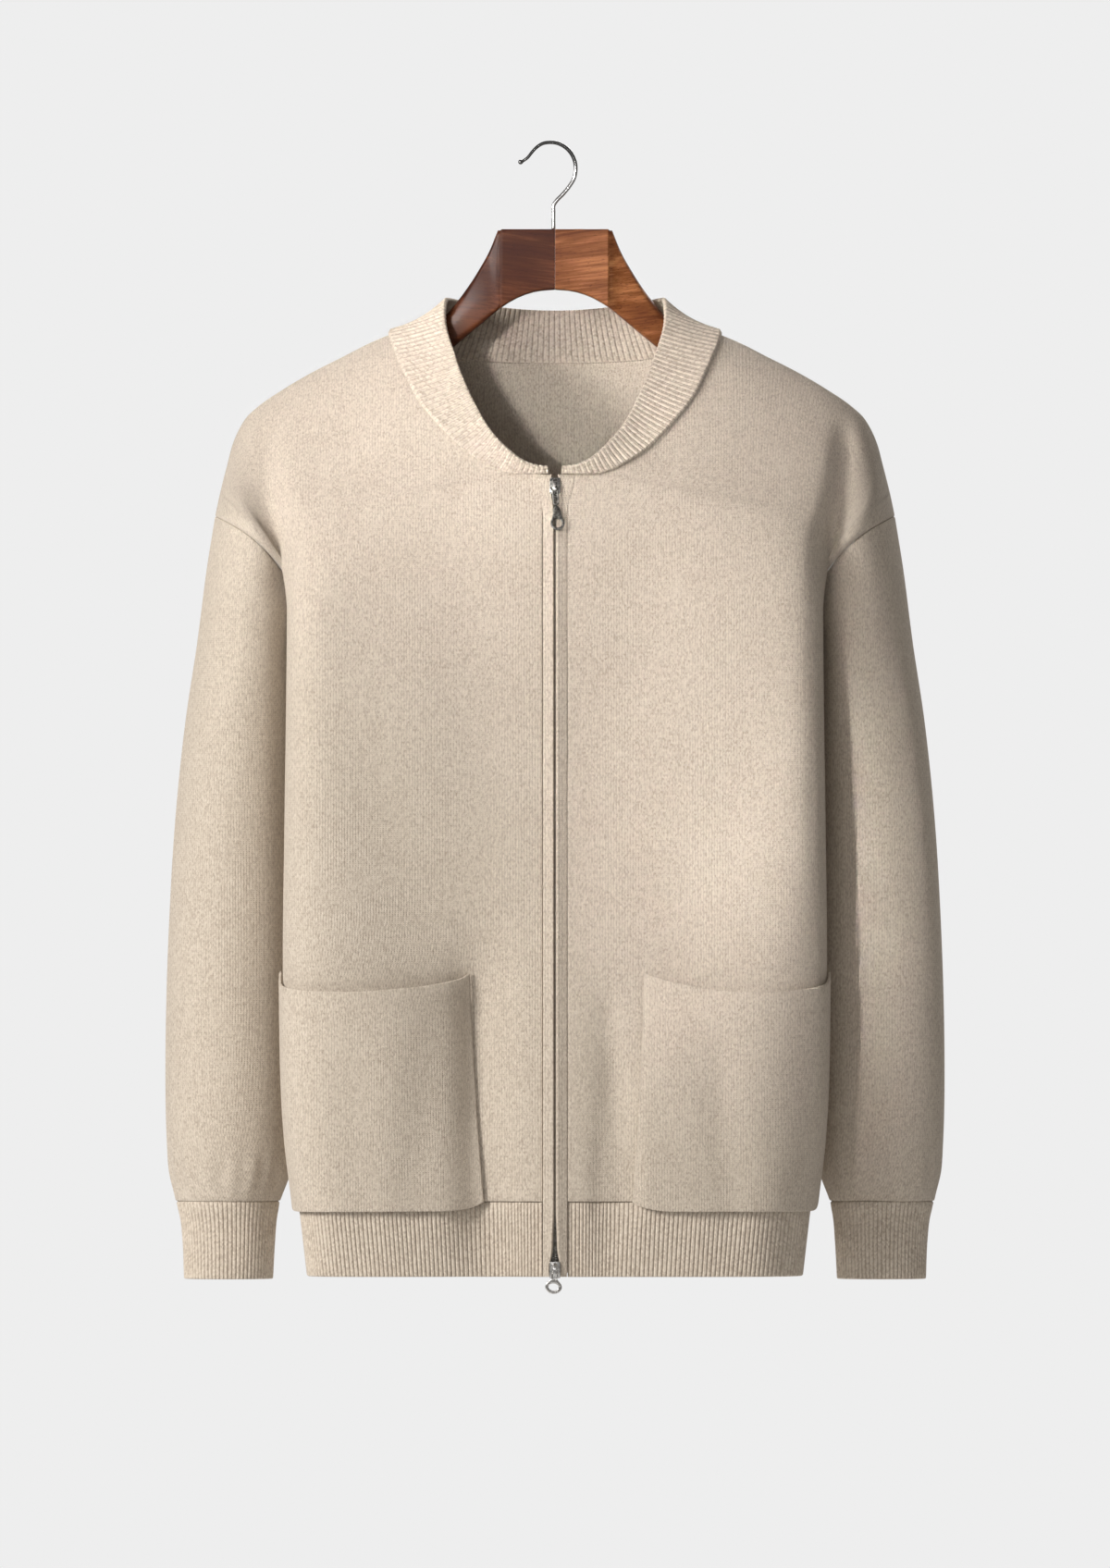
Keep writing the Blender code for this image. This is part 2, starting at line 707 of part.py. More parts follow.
def make_cuffs(collection):
    top = CUFF_TOP - SEAM_GAP / 2
    fine = np.meshgrid(np.linspace(0, 2 * math.pi, 2 * CUFF_RIBS + 1),
                       np.linspace(top, CUFF_BOTTOM, 3))
    coarse = np.meshgrid(np.linspace(0, 2 * math.pi, 17), np.linspace(top, CUFF_BOTTOM, 3))
    for side, name in ((1, "cuff_left"), (-1, "cuff_right")):
        def surface(turn, height):
            points = cuff(turn, height)
            points[..., 0] *= side
            return points
        heights = np.broadcast_to(rib_offsets(2 * CUFF_RIBS + 1), fine[0].shape)
        rims = [(FIRST_ROW, (0, 0, 1)), (LAST_ROW, (0, 0, 1))]
        outer = offset(surface, *fine, heights, side, rims=rims)[1]
        inner = offset(surface, *coarse, np.full(coarse[0].shape, -RIB_CLOTH - RIB_RAISE), side,
                       rims=rims)[1]
        rib_wall(name, outer, inner, True, "knit_rib", collection)


def hem_surface(share, height, face, side):
    points = body_ring(share, height, face)
    points[..., 0] *= side
    return hollows(points)


def back_hem(share, height):
    """Back hem from the right side seam (-1) to the left one (1)."""
    points = ring(turn_at(np.abs(share), -1), height)
    points[..., 0] *= np.sign(share)
    return points


def make_hem(collection):
    top = HEM_TOP - SEAM_GAP / 2
    heights = np.array([top, HEM_BOTTOM])
    rims = [(FIRST_ROW, (0, 0, 1)), (LAST_ROW, (0, 0, 1))]
    ends = (SEAM_GAP / 2 / FRONT_ROUND, 1 - SEAM_GAP / 2 / FRONT_ROUND)
    jobs = [("hem_front_left", 1, ends[0], HEM_RIBS_FRONT, 13),
            ("hem_front_right", -1, ends[0], HEM_RIBS_FRONT, 13),
            ("hem_back", 0, -ends[1], HEM_RIBS_BACK, 25)]
    for name, side, start, ribs, plain in jobs:
        if side:
            def surface(share, height):
                return hem_surface(share, height, 1, side)
            flip = side
        else:
            surface = back_hem
            flip = -1
        fine = np.meshgrid(np.linspace(start, ends[1], 2 * ribs + 1), heights)
        coarse = np.meshgrid(np.linspace(start, ends[1], plain), heights)
        raised = np.broadcast_to(rib_offsets(2 * ribs + 1, HEM_DRAWN_IN), fine[0].shape)
        plain_side = np.full(coarse[0].shape, -RIB_CLOTH - RIB_RAISE - HEM_DRAWN_IN)
        outer = offset(surface, *fine, raised, flip, (1e-3, 0.5), rims)[1]
        inner = offset(surface, *coarse, plain_side, flip, (1e-3, 0.5), rims)[1]
        rib_wall(name, outer, inner, False, "knit_rib", collection)


def whole_neck(points):
    """The half table of the neck, from the right end of the zip round the back to the left."""
    mirrored = points.copy()
    mirrored[:, 0] *= -1
    return Path(np.vstack([mirrored, points[-2::-1]]), 1200)


class Line(Path):
    """Straight stretches between points, read by their share of the length."""

    def __init__(self, points):
        self.points = points
        self.along = self.lengths(points)
        self.length = self.along[-1]


def neck_seam_line():
    """The neck seam through the very points of the panels' edges."""
    front, back = panel_levels(1), panel_levels(-1)
    up = inner_boundary(front[0][front[1]:], 1)
    over = inner_boundary(back[0][back[1]:], -1)[::-1]
    half = np.vstack([NECK_SEAM[:1], up, over[1:]])
    mirrored = half.copy()
    mirrored[:, 0] *= -1
    return Line(np.vstack([mirrored, half[-2::-1]]))


def make_neck(collection):
    seam, edge = neck_seam_line(), whole_neck(NECK_EDGE)

    def surface(share, across):
        return band_between(seam, edge, share, across, NECK_ROLL)

    start = SEAM_GAP / 2 / seam.length
    across = np.array([SEAM_GAP / NECK_BAND_WIDTH, 0.5, 1.0])
    fine = np.meshgrid(np.linspace(start, 1 - start, 2 * NECK_RIBS + 1), across)
    coarse = np.meshgrid(np.linspace(start, 1 - start, 49), across)
    raised = np.broadcast_to(rib_offsets(2 * NECK_RIBS + 1), fine[0].shape)
    outer = offset(surface, *fine, raised, 1, (1e-3, 1e-2))[1]
    inner = offset(surface, *coarse, np.full(coarse[0].shape, -RIB_CLOTH - RIB_RAISE),
                   1, (1e-3, 1e-2))[1]
    rib_wall("neck_band", outer, inner, False, "knit_rib", collection)


def facet_point(share, height, side):
    """Point of the front panel's own flat faces, carried on below its hem seam."""
    levels, _ = panel_levels(1)
    shares = np.linspace(0, 1, PANEL_COLUMNS + 1)
    u, v = np.meshgrid(shares, levels[:BODY_ROWS + 1])
    grid = panel(u, v, 1, side)
    level = np.clip((height - UNDERARM) / (UNDERARM - HEM_TOP), -1, 0)
    column = np.clip(share * PANEL_COLUMNS, 0, PANEL_COLUMNS - 1e-6)
    row = np.clip((level + 1) * BODY_ROWS, 0, BODY_ROWS - 1e-6)
    c, r = column.astype(int), row.astype(int)
    low = mix(grid[r, c], grid[r, c + 1], column - c)
    high = mix(grid[r + 1, c], grid[r + 1, c + 1], column - c)
    below = np.minimum(height, HEM_TOP)
    drop = hem_surface(share, below, 1, side) - hem_surface(share, 0 * below + HEM_TOP, 1, side)
    return mix(low, high, row - r) + drop


def pocket_surface(across, up, side):
    """Outer wall of the front under a pocket, read in the pocket's own measures."""
    low, high = POCKET_INNER[side]
    inner_low = share_at(low, POCKET_BOTTOM)
    inner_high = share_at(high, POCKET_MOUTH)
    start = inner_low + (inner_high - inner_low) * up
    share = start + (POCKET_OUTER[side] - start) * across
    middle = 1 - (2 * across - 1)**2
    mouth = POCKET_MOUTH - POCKET_DROOP * np.clip(middle, 0, 1)**0.8
    bottom = POCKET_BOTTOM + POCKET_CORNER * np.abs(2 * across - 1)**8
    height = bottom + (mouth - bottom) * up
    smooth_wall = hem_surface(share, height, 1, side)
    return smooth_wall, facet_point(share, height, side)


def make_pockets(collection):
    across, up = np.meshgrid(np.linspace(0, 1, 17), np.linspace(0, 1, 9))
    swell = np.clip(across, 0, 1)**0.8 * np.clip(1 - across, 0, 1)**2 * SWELL_TOP
    fullness = POCKET_FULLNESS * swell * np.sin(up * math.pi / 2)**2
    for side, name in ((1, "pocket_left"), (-1, "pocket_right")):
        def surface(a, b):
            return pocket_surface(a, b, side)[0]
        facets = pocket_surface(across, up, side)[1]
        stand = POCKET_STAND + fullness + POCKET_OVER_HEM * (1 - up)**3
        inner = offset(surface, across, up, stand, side)[1] + facets - surface(across, up)
        outer = (offset(surface, across, up, stand + POCKET_WALL, side)[1]
                 + facets - surface(across, up))
        cloth_wall(name, [(outer, inner)], "knit_plain", collection)


# ---------------------------------------------------------------- zip

BAND_FRONT = -0.5               # the band's face before the panel's face
BAND_BACK = 2.5
BAND_START = 1.7
CHAIN_FRONT = -0.6
TAPE_FRONT = 2.8
TAPE_BACK = 3.6
TAPE_EDGE = 8.0
SLIDER_HALF_WIDTH = 3.9
SLIDER_HALF_HEIGHT = 6.1
PLATE_FRONT = -2.3
PLATE_BACK = -1.1
REAR_FRONT = 4.1
REAR_BACK = 5.1
WEDGE = 3.4                     # length of the wedge that joins a slider's plates
CROWN_HALF_WIDTH = 0.9
CROWN_DEPTH = 2.6
CROWN_WALL = 0.9
PULL_THICKNESS = 1.2
BAR_DROP = -1.9                 # the pull's cross bar below the slider's middle
UPPER_SLIDER = -252.4           # height of the slider's middle
LOWER_SLIDER = -825.5
BAND_TOP = -243.6
STRIP_ROWS = 26


def front_line(height):
    """Depth of the centre front at a height."""
    height = np.asarray(height, float)
    upright = NECK_SIDES[1][0].points
    above = np.interp(height, upright[:, 2], upright[:, 1])
    below = ring(np.zeros(height.shape), np.minimum(height, UNDERARM))[..., 1]
    return np.where(height > UNDERARM, above, below)


def front_lean(height):
    """Angle by which the centre front leans back from upright at a height."""
    rise = float(front_line(height + 5) - front_line(height - 5)) / 10
    return -math.atan(rise)


def make_zip_strips(collection):
    """Facing bands and the two sides of the zip, each a section carried down the front."""
    band = np.array([(BAND_START, BAND_FRONT), (ZIP_BAND_EDGE - SEAM_GAP, BAND_FRONT),
                     (ZIP_BAND_EDGE - SEAM_GAP, BAND_BACK), (BAND_START, BAND_BACK)])
    tooth = np.array([(0.2, CHAIN_FRONT), (CHAIN_HALF, CHAIN_FRONT), (CHAIN_HALF, TAPE_FRONT),
                      (TAPE_EDGE, TAPE_FRONT), (TAPE_EDGE, TAPE_BACK), (0.2, TAPE_BACK)])
    chain_top = UPPER_SLIDER + SLIDER_HALF_HEIGHT - WEDGE - 1.3
    chain_bottom = LOWER_SLIDER - SLIDER_HALF_HEIGHT + WEDGE + 1.0
    jobs = [("zip_band", band, BAND_TOP, HEM_BOTTOM, "knit_plain"),
            ("zip_side", tooth, chain_top, chain_bottom, "zip_tape")]
    for stem, section, top, bottom, finish in jobs:
        heights = np.linspace(top, bottom, STRIP_ROWS)
        for side, suffix in ((1, "left"), (-1, "right")):
            rows = [xyz(section[:, 0] * side, section[:, 1] + front_line(z), z) for z in heights]
            loft(f"{stem}_{suffix}", np.array(rows), finish, collection)


def box(name, low, high, place, collection):
    """Box between two corners in millimetres, then put in its place."""
    low, high = np.array(low), np.array(high)
    bm = bmesh.new()
    bmesh.ops.create_cube(bm, size=1.0)
    size = Matrix.Diagonal((*((high - low) * MM), 1.0))
    centre = Matrix.Translation((low + high) / 2 * MM)
    bmesh.ops.transform(bm, matrix=place @ centre @ size, verts=bm.verts)
    mesh = bpy.data.meshes.new(name)
    bm.to_mesh(mesh)
    bm.free()
    item = bpy.data.objects.new(name, mesh)
    collection.objects.link(item)
    return item


def flat_outline(name, outlines, half_thickness, collection):
    """Plate from closed outlines in a plane: the first is the edge, the others are holes."""
    curve = bpy.data.curves.new(name, "CURVE")
    curve.dimensions = "2D"
    curve.fill_mode = "BOTH"
    curve.extrude = half_thickness * MM
    for outline in outlines:
        spline = curve.splines.new("POLY")
        spline.points.add(len(outline) - 1)
        for point, (x, y) in zip(spline.points, outline):
            point.co = (x * MM, y * MM, 0, 1)
        spline.use_cyclic_u = True
    item = bpy.data.objects.new(name, curve)
    collection.objects.link(item)
    return item


def as_mesh(item, turn, finish, collection):
    """The evaluated curve as a closed mesh, turned into place."""
    name = item.name
    bpy.context.view_layer.update()
    evaluated = item.evaluated_get(bpy.context.evaluated_depsgraph_get())
    mesh = bpy.data.meshes.new_from_object(evaluated)
    mesh.transform(turn)
    bm = bmesh.new()
    bm.from_mesh(mesh)
    bmesh.ops.remove_doubles(bm, verts=bm.verts, dist=1e-6)
    bmesh.ops.recalc_face_normals(bm, faces=bm.faces)
    bm.to_mesh(mesh)
    bm.free()
    curve = item.data
    bpy.data.objects.remove(item)
    bpy.data.curves.remove(curve)
    mesh.name = name
    return put(name, mesh, finish, collection)


def arc(centre_x, centre_y, radius_x, radius_y, start, end, count):
    turns = np.radians(np.linspace(start, end, count))
    return [(centre_x + radius_x * math.cos(t), centre_y + radius_y * math.sin(t)) for t in turns]


def unite(target, tool):
    """Boolean union that stays live on the target; the tool is only a guide."""
    tool.hide_render = True
    tool.display_type = "WIRE"
    cut = target.modifiers.new(tool.name, "BOOLEAN")
    cut.operation = "UNION"
    cut.object = tool


SIDEWAYS = Matrix(((0, 0, 1, 0), (1, 0, 0, 0), (0, 1, 0, 0), (0, 0, 0, 1)))
UPRIGHT = Matrix(((1, 0, 0, 0), (0, 0, -1, 0), (0, 1, 0, 0), (0, 0, 0, 1)))


def make_slider(name, middle, up, finish, collection, cutters):
    """Slider body: two plates joined by a wedge at one end, and a crown over the front."""
    depth = float(front_line(middle))
    lean = front_lean(middle)
    end = SLIDER_HALF_HEIGHT
    crown_out = PLATE_FRONT - CROWN_DEPTH - CROWN_WALL
    inner = PLATE_FRONT - CROWN_DEPTH
    spine = [(REAR_BACK, up * end), (REAR_BACK, up * (end - WEDGE)), (PLATE_BACK, up * (end - WEDGE)),
             (PLATE_BACK, -5.4), (PLATE_FRONT, -5.4), (crown_out, -3.6), (crown_out, 1.6),
             (PLATE_FRONT, 4.4), (PLATE_FRONT, up * end)]
    if up < 0:
        spine = [(REAR_BACK, -end), (REAR_BACK, -end + WEDGE), (PLATE_BACK, -end + WEDGE),
                 (PLATE_BACK, 5.4), (PLATE_FRONT, 5.4), (PLATE_FRONT, 4.4), (crown_out, 1.6),
                 (crown_out, -3.6), (PLATE_FRONT, -5.4), (PLATE_FRONT, -end)]
    gap = [(PLATE_FRONT - 0.01, -4.0), (inner, -3.3), (inner, 1.2), (PLATE_FRONT - 0.01, 2.2)]
    core = flat_outline(name, [spine, gap], CROWN_HALF_WIDTH, collection)
    place = Matrix.Translation((0, depth * MM, middle * MM)) @ Matrix.Rotation(lean, 4, "X")
    item = as_mesh(core, place @ SIDEWAYS, finish, collection)
    for tag, near, far in (("front", PLATE_FRONT + 0.05, PLATE_BACK),
                           ("rear", REAR_FRONT, REAR_BACK - 0.05)):
        plate = box(f"{name}_{tag}", (-SLIDER_HALF_WIDTH, near, 0.05 - end),
                    (SLIDER_HALF_WIDTH, far, end - 0.05), place, cutters)
        unite(item, plate)
    axis = place @ Vector((0, (PLATE_FRONT - CROWN_DEPTH / 2) * MM, BAR_DROP * MM))
    return axis, lean


def make_pull(name, axis, lean, outlines, finish, collection):
    """Pull tab hanging along the front from the cross bar that turns in the slider's crown."""
    plate = flat_outline(name, outlines, PULL_THICKNESS / 2, collection)
    item = as_mesh(plate, UPRIGHT, finish, collection)
    item.location = axis
    item.rotation_euler = (lean, 0, 0)
    return item


def make_zip_hardware(collection, cutters):
    bar = 0.75
    axis, lean = make_slider("slider_upper", UPPER_SLIDER, 1, "zip_metal", collection, cutters)
    slot = [(-1.35, -bar), (1.35, -bar), (1.35, -11.2), (-1.35, -11.2)]
    edge = ([(-2.4, bar), (2.4, bar), (2.4, -12.2), (2.9, -13.4), (3.3, -17.8)]
            + arc(0, -27.0, 5.2, 5.3, 40, -220, 14) + [(-3.3, -17.8), (-2.9, -13.4), (-2.4, -12.2)])
    eye = arc(0, -27.0, 3.3, 3.4, 0, 330, 12)
    make_pull("pull_upper", axis, lean, [edge, slot, eye], "zip_metal", collection)
    axis, lean = make_slider("slider_lower", LOWER_SLIDER, -1, "zip_nickel", collection, cutters)
    slot = [(-1.35, -bar), (1.35, -bar), (1.35, -3.6), (-1.35, -3.6)]
    edge = ([(-2.4, bar), (2.4, bar), (2.4, -4.6)] + arc(0, -10.6, 6.1, 5.0, 55, -235, 18)
            + [(-2.4, -4.6)])
    eye = arc(0, -10.6, 3.7, 2.6, 0, 340, 14)
    make_pull("pull_lower", axis, lean, [edge, slot, eye], "zip_nickel", collection)


# ---------------------------------------------------------------- hanger


def arm_section(x, top, bottom, half_depth, centre, corner):
    """Upright section of the arm: a rectangle with rounded corners."""
    middle, half = (top + bottom) / 2, (top - bottom) / 2
    points = []
    for quarter, (sign_y, sign_z) in enumerate(((1, 1), (-1, 1), (-1, -1), (1, -1))):
        for y, z in arc(0, 0, corner, corner, 90 * quarter, 90 * quarter + 90, 3):
            points.append((x, centre + sign_y * (half_depth - corner) + y,
                           middle + sign_z * (half - corner) + z))
    return points


def make_hanger(collection):
    """Two wooden arms, glued at the middle, whose ridges carry the shoulders."""
    shares = np.linspace(0, 1, PANEL_COLUMNS + 1)
    seats = SHOULDER_LINE(shares)
    seats = seats[(seats[:, 0] > ARM_SEATED[0]) & (seats[:, 0] < ARM_SEATED[1])]
    rows = [arm_section(*row) for row in zip(*ARM.values())]
    for x, depth, z in seats:
        top = z - CLOTH / math.cos(SHOULDER_PITCH) - ARM_SEAT
        rows.append(arm_section(x, top, top - ARM_HEIGHT, ARM_HALF_DEPTH, depth + ARM_BACK,
                                ARM_ROUND))
    tip_top = seats[-1][2] - 15.0
    rows.append(arm_section(ARM_TIP - 4, tip_top, tip_top - 22, 7.5, 5.0, 6.0))
    rows.append(arm_section(ARM_TIP, tip_top - 7, tip_top - 18, 4.5, 6.0, 3.0))
    for side, name in ((1, "hanger_left"), (-1, "hanger_right")):
        sections = np.array(rows)
        sections[..., 0] *= side
        loft(name, sections, "hanger_wood", collection)


def make_hook(collection):
    """Steel wire: a stem up from the wood and an open hook round the mount."""
    line = Path(xyz(HOOK_ROUTE["x"], 0, HOOK_ROUTE["z"]))
    ball = HOOK_SIZES["distance"][:6]
    stations = np.concatenate([ball, np.linspace(6.5, line.length, 30)])
    sizes = np.interp(stations, HOOK_SIZES["distance"], HOOK_SIZES["size"])
    route = line(stations / line.length)
    curve = bpy.data.curves.new("hanger_hook", "CURVE")
    curve.dimensions = "3D"
    curve.bevel_depth = HOOK_WIRE / 2 * MM
    curve.bevel_resolution = 2
    curve.use_fill_caps = True
    spline = curve.splines.new("POLY")
    spline.points.add(len(route) - 1)
    for point, place, size in zip(spline.points, route, sizes):
        point.co = (*(place * MM), 1)
        point.radius = size
    item = bpy.data.objects.new("hanger_hook", curve)
    collection.objects.link(item)
    as_mesh(item, Matrix.Identity(4), "hook_steel", collection)


def main():
    clear_scene()
    collection = new_collection("zip_up_cardigan_on_hanger")
    cutters = new_collection("guides")
    make_fronts(collection)
    make_back(collection)
    make_sleeves(collection)
    make_cuffs(collection)
    make_hem(collection)
    make_neck(collection)
    make_pockets(collection)
    make_zip_strips(collection)
    make_zip_hardware(collection, cutters)
    make_hanger(collection)
    make_hook(collection)


main()
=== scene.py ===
"""Looks of the zip-up cardigan on its coat hanger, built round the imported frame.

Frame: +X is the wearer's left, +Y the back, +Z up, and the origin is the inside top of the
hanger's hook. Sizes here are in millimetres, and each mesh is scaled to metres as it is made.
"""
import math

import bmesh
import bpy
import numpy as np
from mathutils import Matrix, Vector

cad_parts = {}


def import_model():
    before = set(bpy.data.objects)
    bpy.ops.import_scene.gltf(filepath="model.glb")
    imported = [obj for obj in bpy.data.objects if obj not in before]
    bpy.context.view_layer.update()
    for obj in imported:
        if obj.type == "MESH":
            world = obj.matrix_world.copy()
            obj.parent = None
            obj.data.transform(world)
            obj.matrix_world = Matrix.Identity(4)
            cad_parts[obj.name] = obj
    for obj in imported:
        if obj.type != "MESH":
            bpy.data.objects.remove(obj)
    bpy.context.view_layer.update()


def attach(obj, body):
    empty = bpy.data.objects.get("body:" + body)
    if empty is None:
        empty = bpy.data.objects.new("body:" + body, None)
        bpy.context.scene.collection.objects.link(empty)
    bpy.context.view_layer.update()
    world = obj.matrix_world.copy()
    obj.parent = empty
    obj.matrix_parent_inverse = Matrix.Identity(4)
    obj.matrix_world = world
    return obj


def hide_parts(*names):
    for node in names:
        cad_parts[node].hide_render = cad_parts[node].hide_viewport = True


MM = 0.001
GARMENT = "garment_and_hanger"
SIDES = ((1, "left"), (-1, "right"))            # the wearer's left is +X
SHORT_WAY = 0.004               # share of a path over which its direction is read

# ---------------------------------------------------------------- sizes shared with the solids

CLOTH = 2.4                     # wall of the plain knit
RIB_CLOTH = 2.6                 # wall of the rib knit under its ribs
RIB_RAISE = 1.15                # height of a rib over the hollow beside it
HEM_DRAWN_IN = 1.0              # how far the hem rib draws in from the panels
SEAM_GAP = 0.3                  # distance between two pieces at a seam
UNDERARM = -345.0               # height of the underarm point
HEM_TOP = -776.0                # seam between the panels and the hem rib
HEM_BOTTOM = -831.0
ZIP_BAND_EDGE = 9.0             # from the zip's middle to the edge of its facing band
SQUARENESS = 3.0                # exponent of the body's rounded outline in plan
SIDE_TURN = math.radians(113)   # the side seam, behind the widest line of the body
FOLD_TURN = math.radians(10)    # how soon behind the widest line the side lies flat
SIDE_SOFTNESS = 3.0             # roundness where the flat side meets the back
BODY_MIDDLE = -500.0            # height at which turns are spaced evenly
FRONT_ROUND = 260.0             # about the way round a front, from the zip to the side seam
FACING_FRONT = 0.78             # share of that way that still faces the front
BAND_FADE = 6                   # the zip band's room is gone at one part in this of that way
YOKE_HEIGHT = 110.0             # about the height of the wall over the underarm
SLOPE_DROP = 30                 # drop over which the wall's slope at the underarm is read


def table(columns, rows):
    """Named columns from short rows of numbers."""
    return dict(zip(columns.split(), np.array(rows, float).T))


TORSO = table("height half_width front back fold press", [
    (-831, 183.0, 92, 86, -34, 5),
    (-776, 189.5, 98, 91, -37, 9),
    (-740, 194.5, 101, 94, -40, 12),
    (-614, 199.5, 105, 98, -45, 15),
    (-505, 198.5, 107, 100, -48, 15),
    (-400, 197.0, 107, 99, -52, 14),
    (-345, 196.5, 105, 96, -56, 13),
])
SHOULDER = table("across depth height", [
    (120.4, 4, -139.2),
    (136.0, 4, -145.8),
    (156.0, 4, -156.0),
    (177.0, 5, -166.6),
    (199.2, 5, -179.5),
    (219.0, 6, -193.1),
    (226.6, 6, -200.2),
    (231.6, 6, -208.0),
    (237.0, 6, -220.3),
    (240.6, 6, -233.9),
    (247.0, 6, -259.5),
    (249.9, 6, -273.4),
])
NECK = table("seam_x seam_y seam_z edge_x edge_y edge_z", [
    (4.4, -86.5, -243.2, 4.6, -89.5, -236.9),
    (20.0, -86.0, -243.3, 15.0, -89.0, -235.5),
    (34.0, -84.0, -242.6, 24.0, -87.0, -231.8),
    (47.6, -80.0, -236.8, 33.0, -83.0, -225.0),
    (63.2, -73.0, -227.1, 43.5, -75.5, -214.6),
    (85.7, -60.0, -205.4, 58.5, -59.0, -190.8),
    (99.3, -48.0, -188.4, 67.0, -47.0, -172.0),
    (108.1, -36.0, -171.5, 73.0, -36.0, -155.0),
    (115.6, -21.0, -154.5, 79.0, -23.0, -134.0),
    (120.4, 4.0, -139.2, 78.5, -3.0, -116.4),
    (114.0, 24.0, -144.0, 75.0, 16.0, -114.6),
    (97.0, 43.0, -151.0, 66.0, 32.0, -115.8),
    (71.0, 55.0, -156.5, 50.0, 44.0, -118.0),
    (40.0, 61.0, -159.0, 28.0, 51.0, -120.4),
    (0.0, 62.5, -159.8, 0.0, 54.5, -121.4),
])
NECK_AT_SHOULDER = 9            # the row of NECK where the shoulder seam meets it
NECK_ROLL = 1.2                 # how far the neck rib rounds out between its edges
NECK_BAND_WIDTH = 44.0          # about the width of the neck rib
SLEEVE = table("height centre_x half_x centre_y half_y slope sag", [
    (-289.7, 0, 0, 5, 72, 0.51, 0),
    (-330.0, 222.5, 34.0, 8, 71, 0.45, 30),
    (-380.0, 225.8, 37.5, 13, 68, 0.35, 16),
    (-440.0, 230.2, 42.4, 18, 64, 0.25, 6),
    (-510.0, 233.8, 46.2, 22, 60, 0.15, 2),
    (-590.0, 236.4, 48.2, 23, 56, 0.10, 0),
    (-660.0, 238.2, 48.4, 23, 53, 0.06, 0),
    (-720.0, 238.7, 47.6, 22, 50, 0.03, 0),
    (-751.0, 238.6, 45.1, 21, 46, 0.01, 0),
    (-777.0, 240.6, 38.4, 20, 39, 0.00, 0),
])
CUFF = table("height centre_x half_x centre_y half_y", [
    (-834.0, 240.2, 32.8, 19, 31.5),
    (-805.0, 240.0, 34.2, 19, 33.5),
    (-790.0, 240.2, 35.6, 20, 35.5),
    (-777.0, 240.6, 38.4, 20, 39.0),
])
CUFF_TOP, CUFF_BOTTOM = CUFF["height"][-1], CUFF["height"][0]

# Soft hollows in the front, each along a straight line in the front view. The first six are
# the solids' own, and the rest are finer creases that only the shell has.
HOLLOWS = table("x1 z1 x2 z2 width depth", [
    (213, -226, 199, -306, 9, 10),
    (-212, -226, -199, -306, 10, 8),
    (46, -690, 49, -770, 11, 4),
    (-67, -640, -60, -772, 14, 5),
    (-92, -660, -104, -760, 18, 3),
    (118, -690, 128, -770, 16, 3),
    (-52, -640, -45, -800, 21, 8.0),
    (-66, -640, -58, -800, 40, 9.0),
    (-62, -640, -60, -700, 12, 2.5),
    (39, -650, 37, -800, 11, 3.2),
    (198, -640, 194, -800, 38, 13.0),
    (-150, -700, -140, -800, 20, 2.0),
    (33, -735, 31, -775, 5, 1.2),
    (60, -742, 58, -775, 5, 1.4),
    (150, -420, 96, -560, 30, 2.2),
    (-150, -410, -110, -560, 30, 2.2),
    (70, -300, 40, -420, 26, 1.6),
    (-76, -300, -52, -430, 26, 1.6),
])
HOLLOW_DEPTH = 45               # a point this far before the middle takes a hollow in full
HOLLOW_ENDS = 2.5               # how far a hollow runs on past its ends, in widths

POCKET_WALL = 2.2
POCKET_STAND = 0.7              # clear space between a pocket and the panel at its seams
POCKET_MOUTH = -607.6
POCKET_DROOP = 14.0             # how far the middle of the mouth hangs below its ends
POCKET_BOTTOM = -783.0
POCKET_CORNER = 7.0             # how far the lower corners round up
POCKET_OVER_HEM = 1.2           # how far the pocket's lower edge stands over the hem rib
POCKET_FULLNESS = 7.5           # most of all a third of the way out, where the pocket swells
SWELL_TOP = 5.5                 # brings the top of the swell's curve to about 1
POCKET_INNER = {1: (57.2, 65.3), -1: (51.4, 62.6)}   # from the middle, at bottom and mouth
POCKET_OUTER = {1: 0.752, -1: 0.797}                 # share of the way round to the side seam
POCKET_SIZE = (195.0, 172.0)    # about the pocket's width and height
POCKET_STEP = 3.6               # distance between a pocket's points

# ---------------------------------------------------------------- curves and surfaces


def smooth(at, knots, values):
    """Cubic curve through the values at the knots."""
    at = np.asarray(at, float)
    slope = np.gradient(values, knots)
    cell = np.clip(np.searchsorted(knots, at) - 1, 0, len(knots) - 2)
    span = knots[cell + 1] - knots[cell]
    t = (at - knots[cell]) / span
    rise = (2 * t**3 - 3 * t**2 + 1) * values[cell] + (3 * t**2 - 2 * t**3) * values[cell + 1]
    lean = (t**3 - 2 * t**2 + t) * slope[cell] + (t**3 - t**2) * slope[cell + 1]
    return rise + span * lean


def step(value):
    """Smooth step from 0 to 1."""
    value = np.clip(value, 0, 1)
    return value * value * (3 - 2 * value)


def xyz(x, y, z):
    """Points of three numbers, each one value or a grid of them."""
    return np.stack(np.broadcast_arrays(x, y, z), axis=-1).astype(float)


def unit(ways):
    """Directions at a length of 1."""
    return ways / np.maximum(np.linalg.norm(ways, axis=-1, keepdims=True), 1e-9)


def mix(first, second, share):
    """Points a share of the way from the first to the second."""
    share = np.asarray(share, float)[..., None]
    return first * (1 - share) + second * share


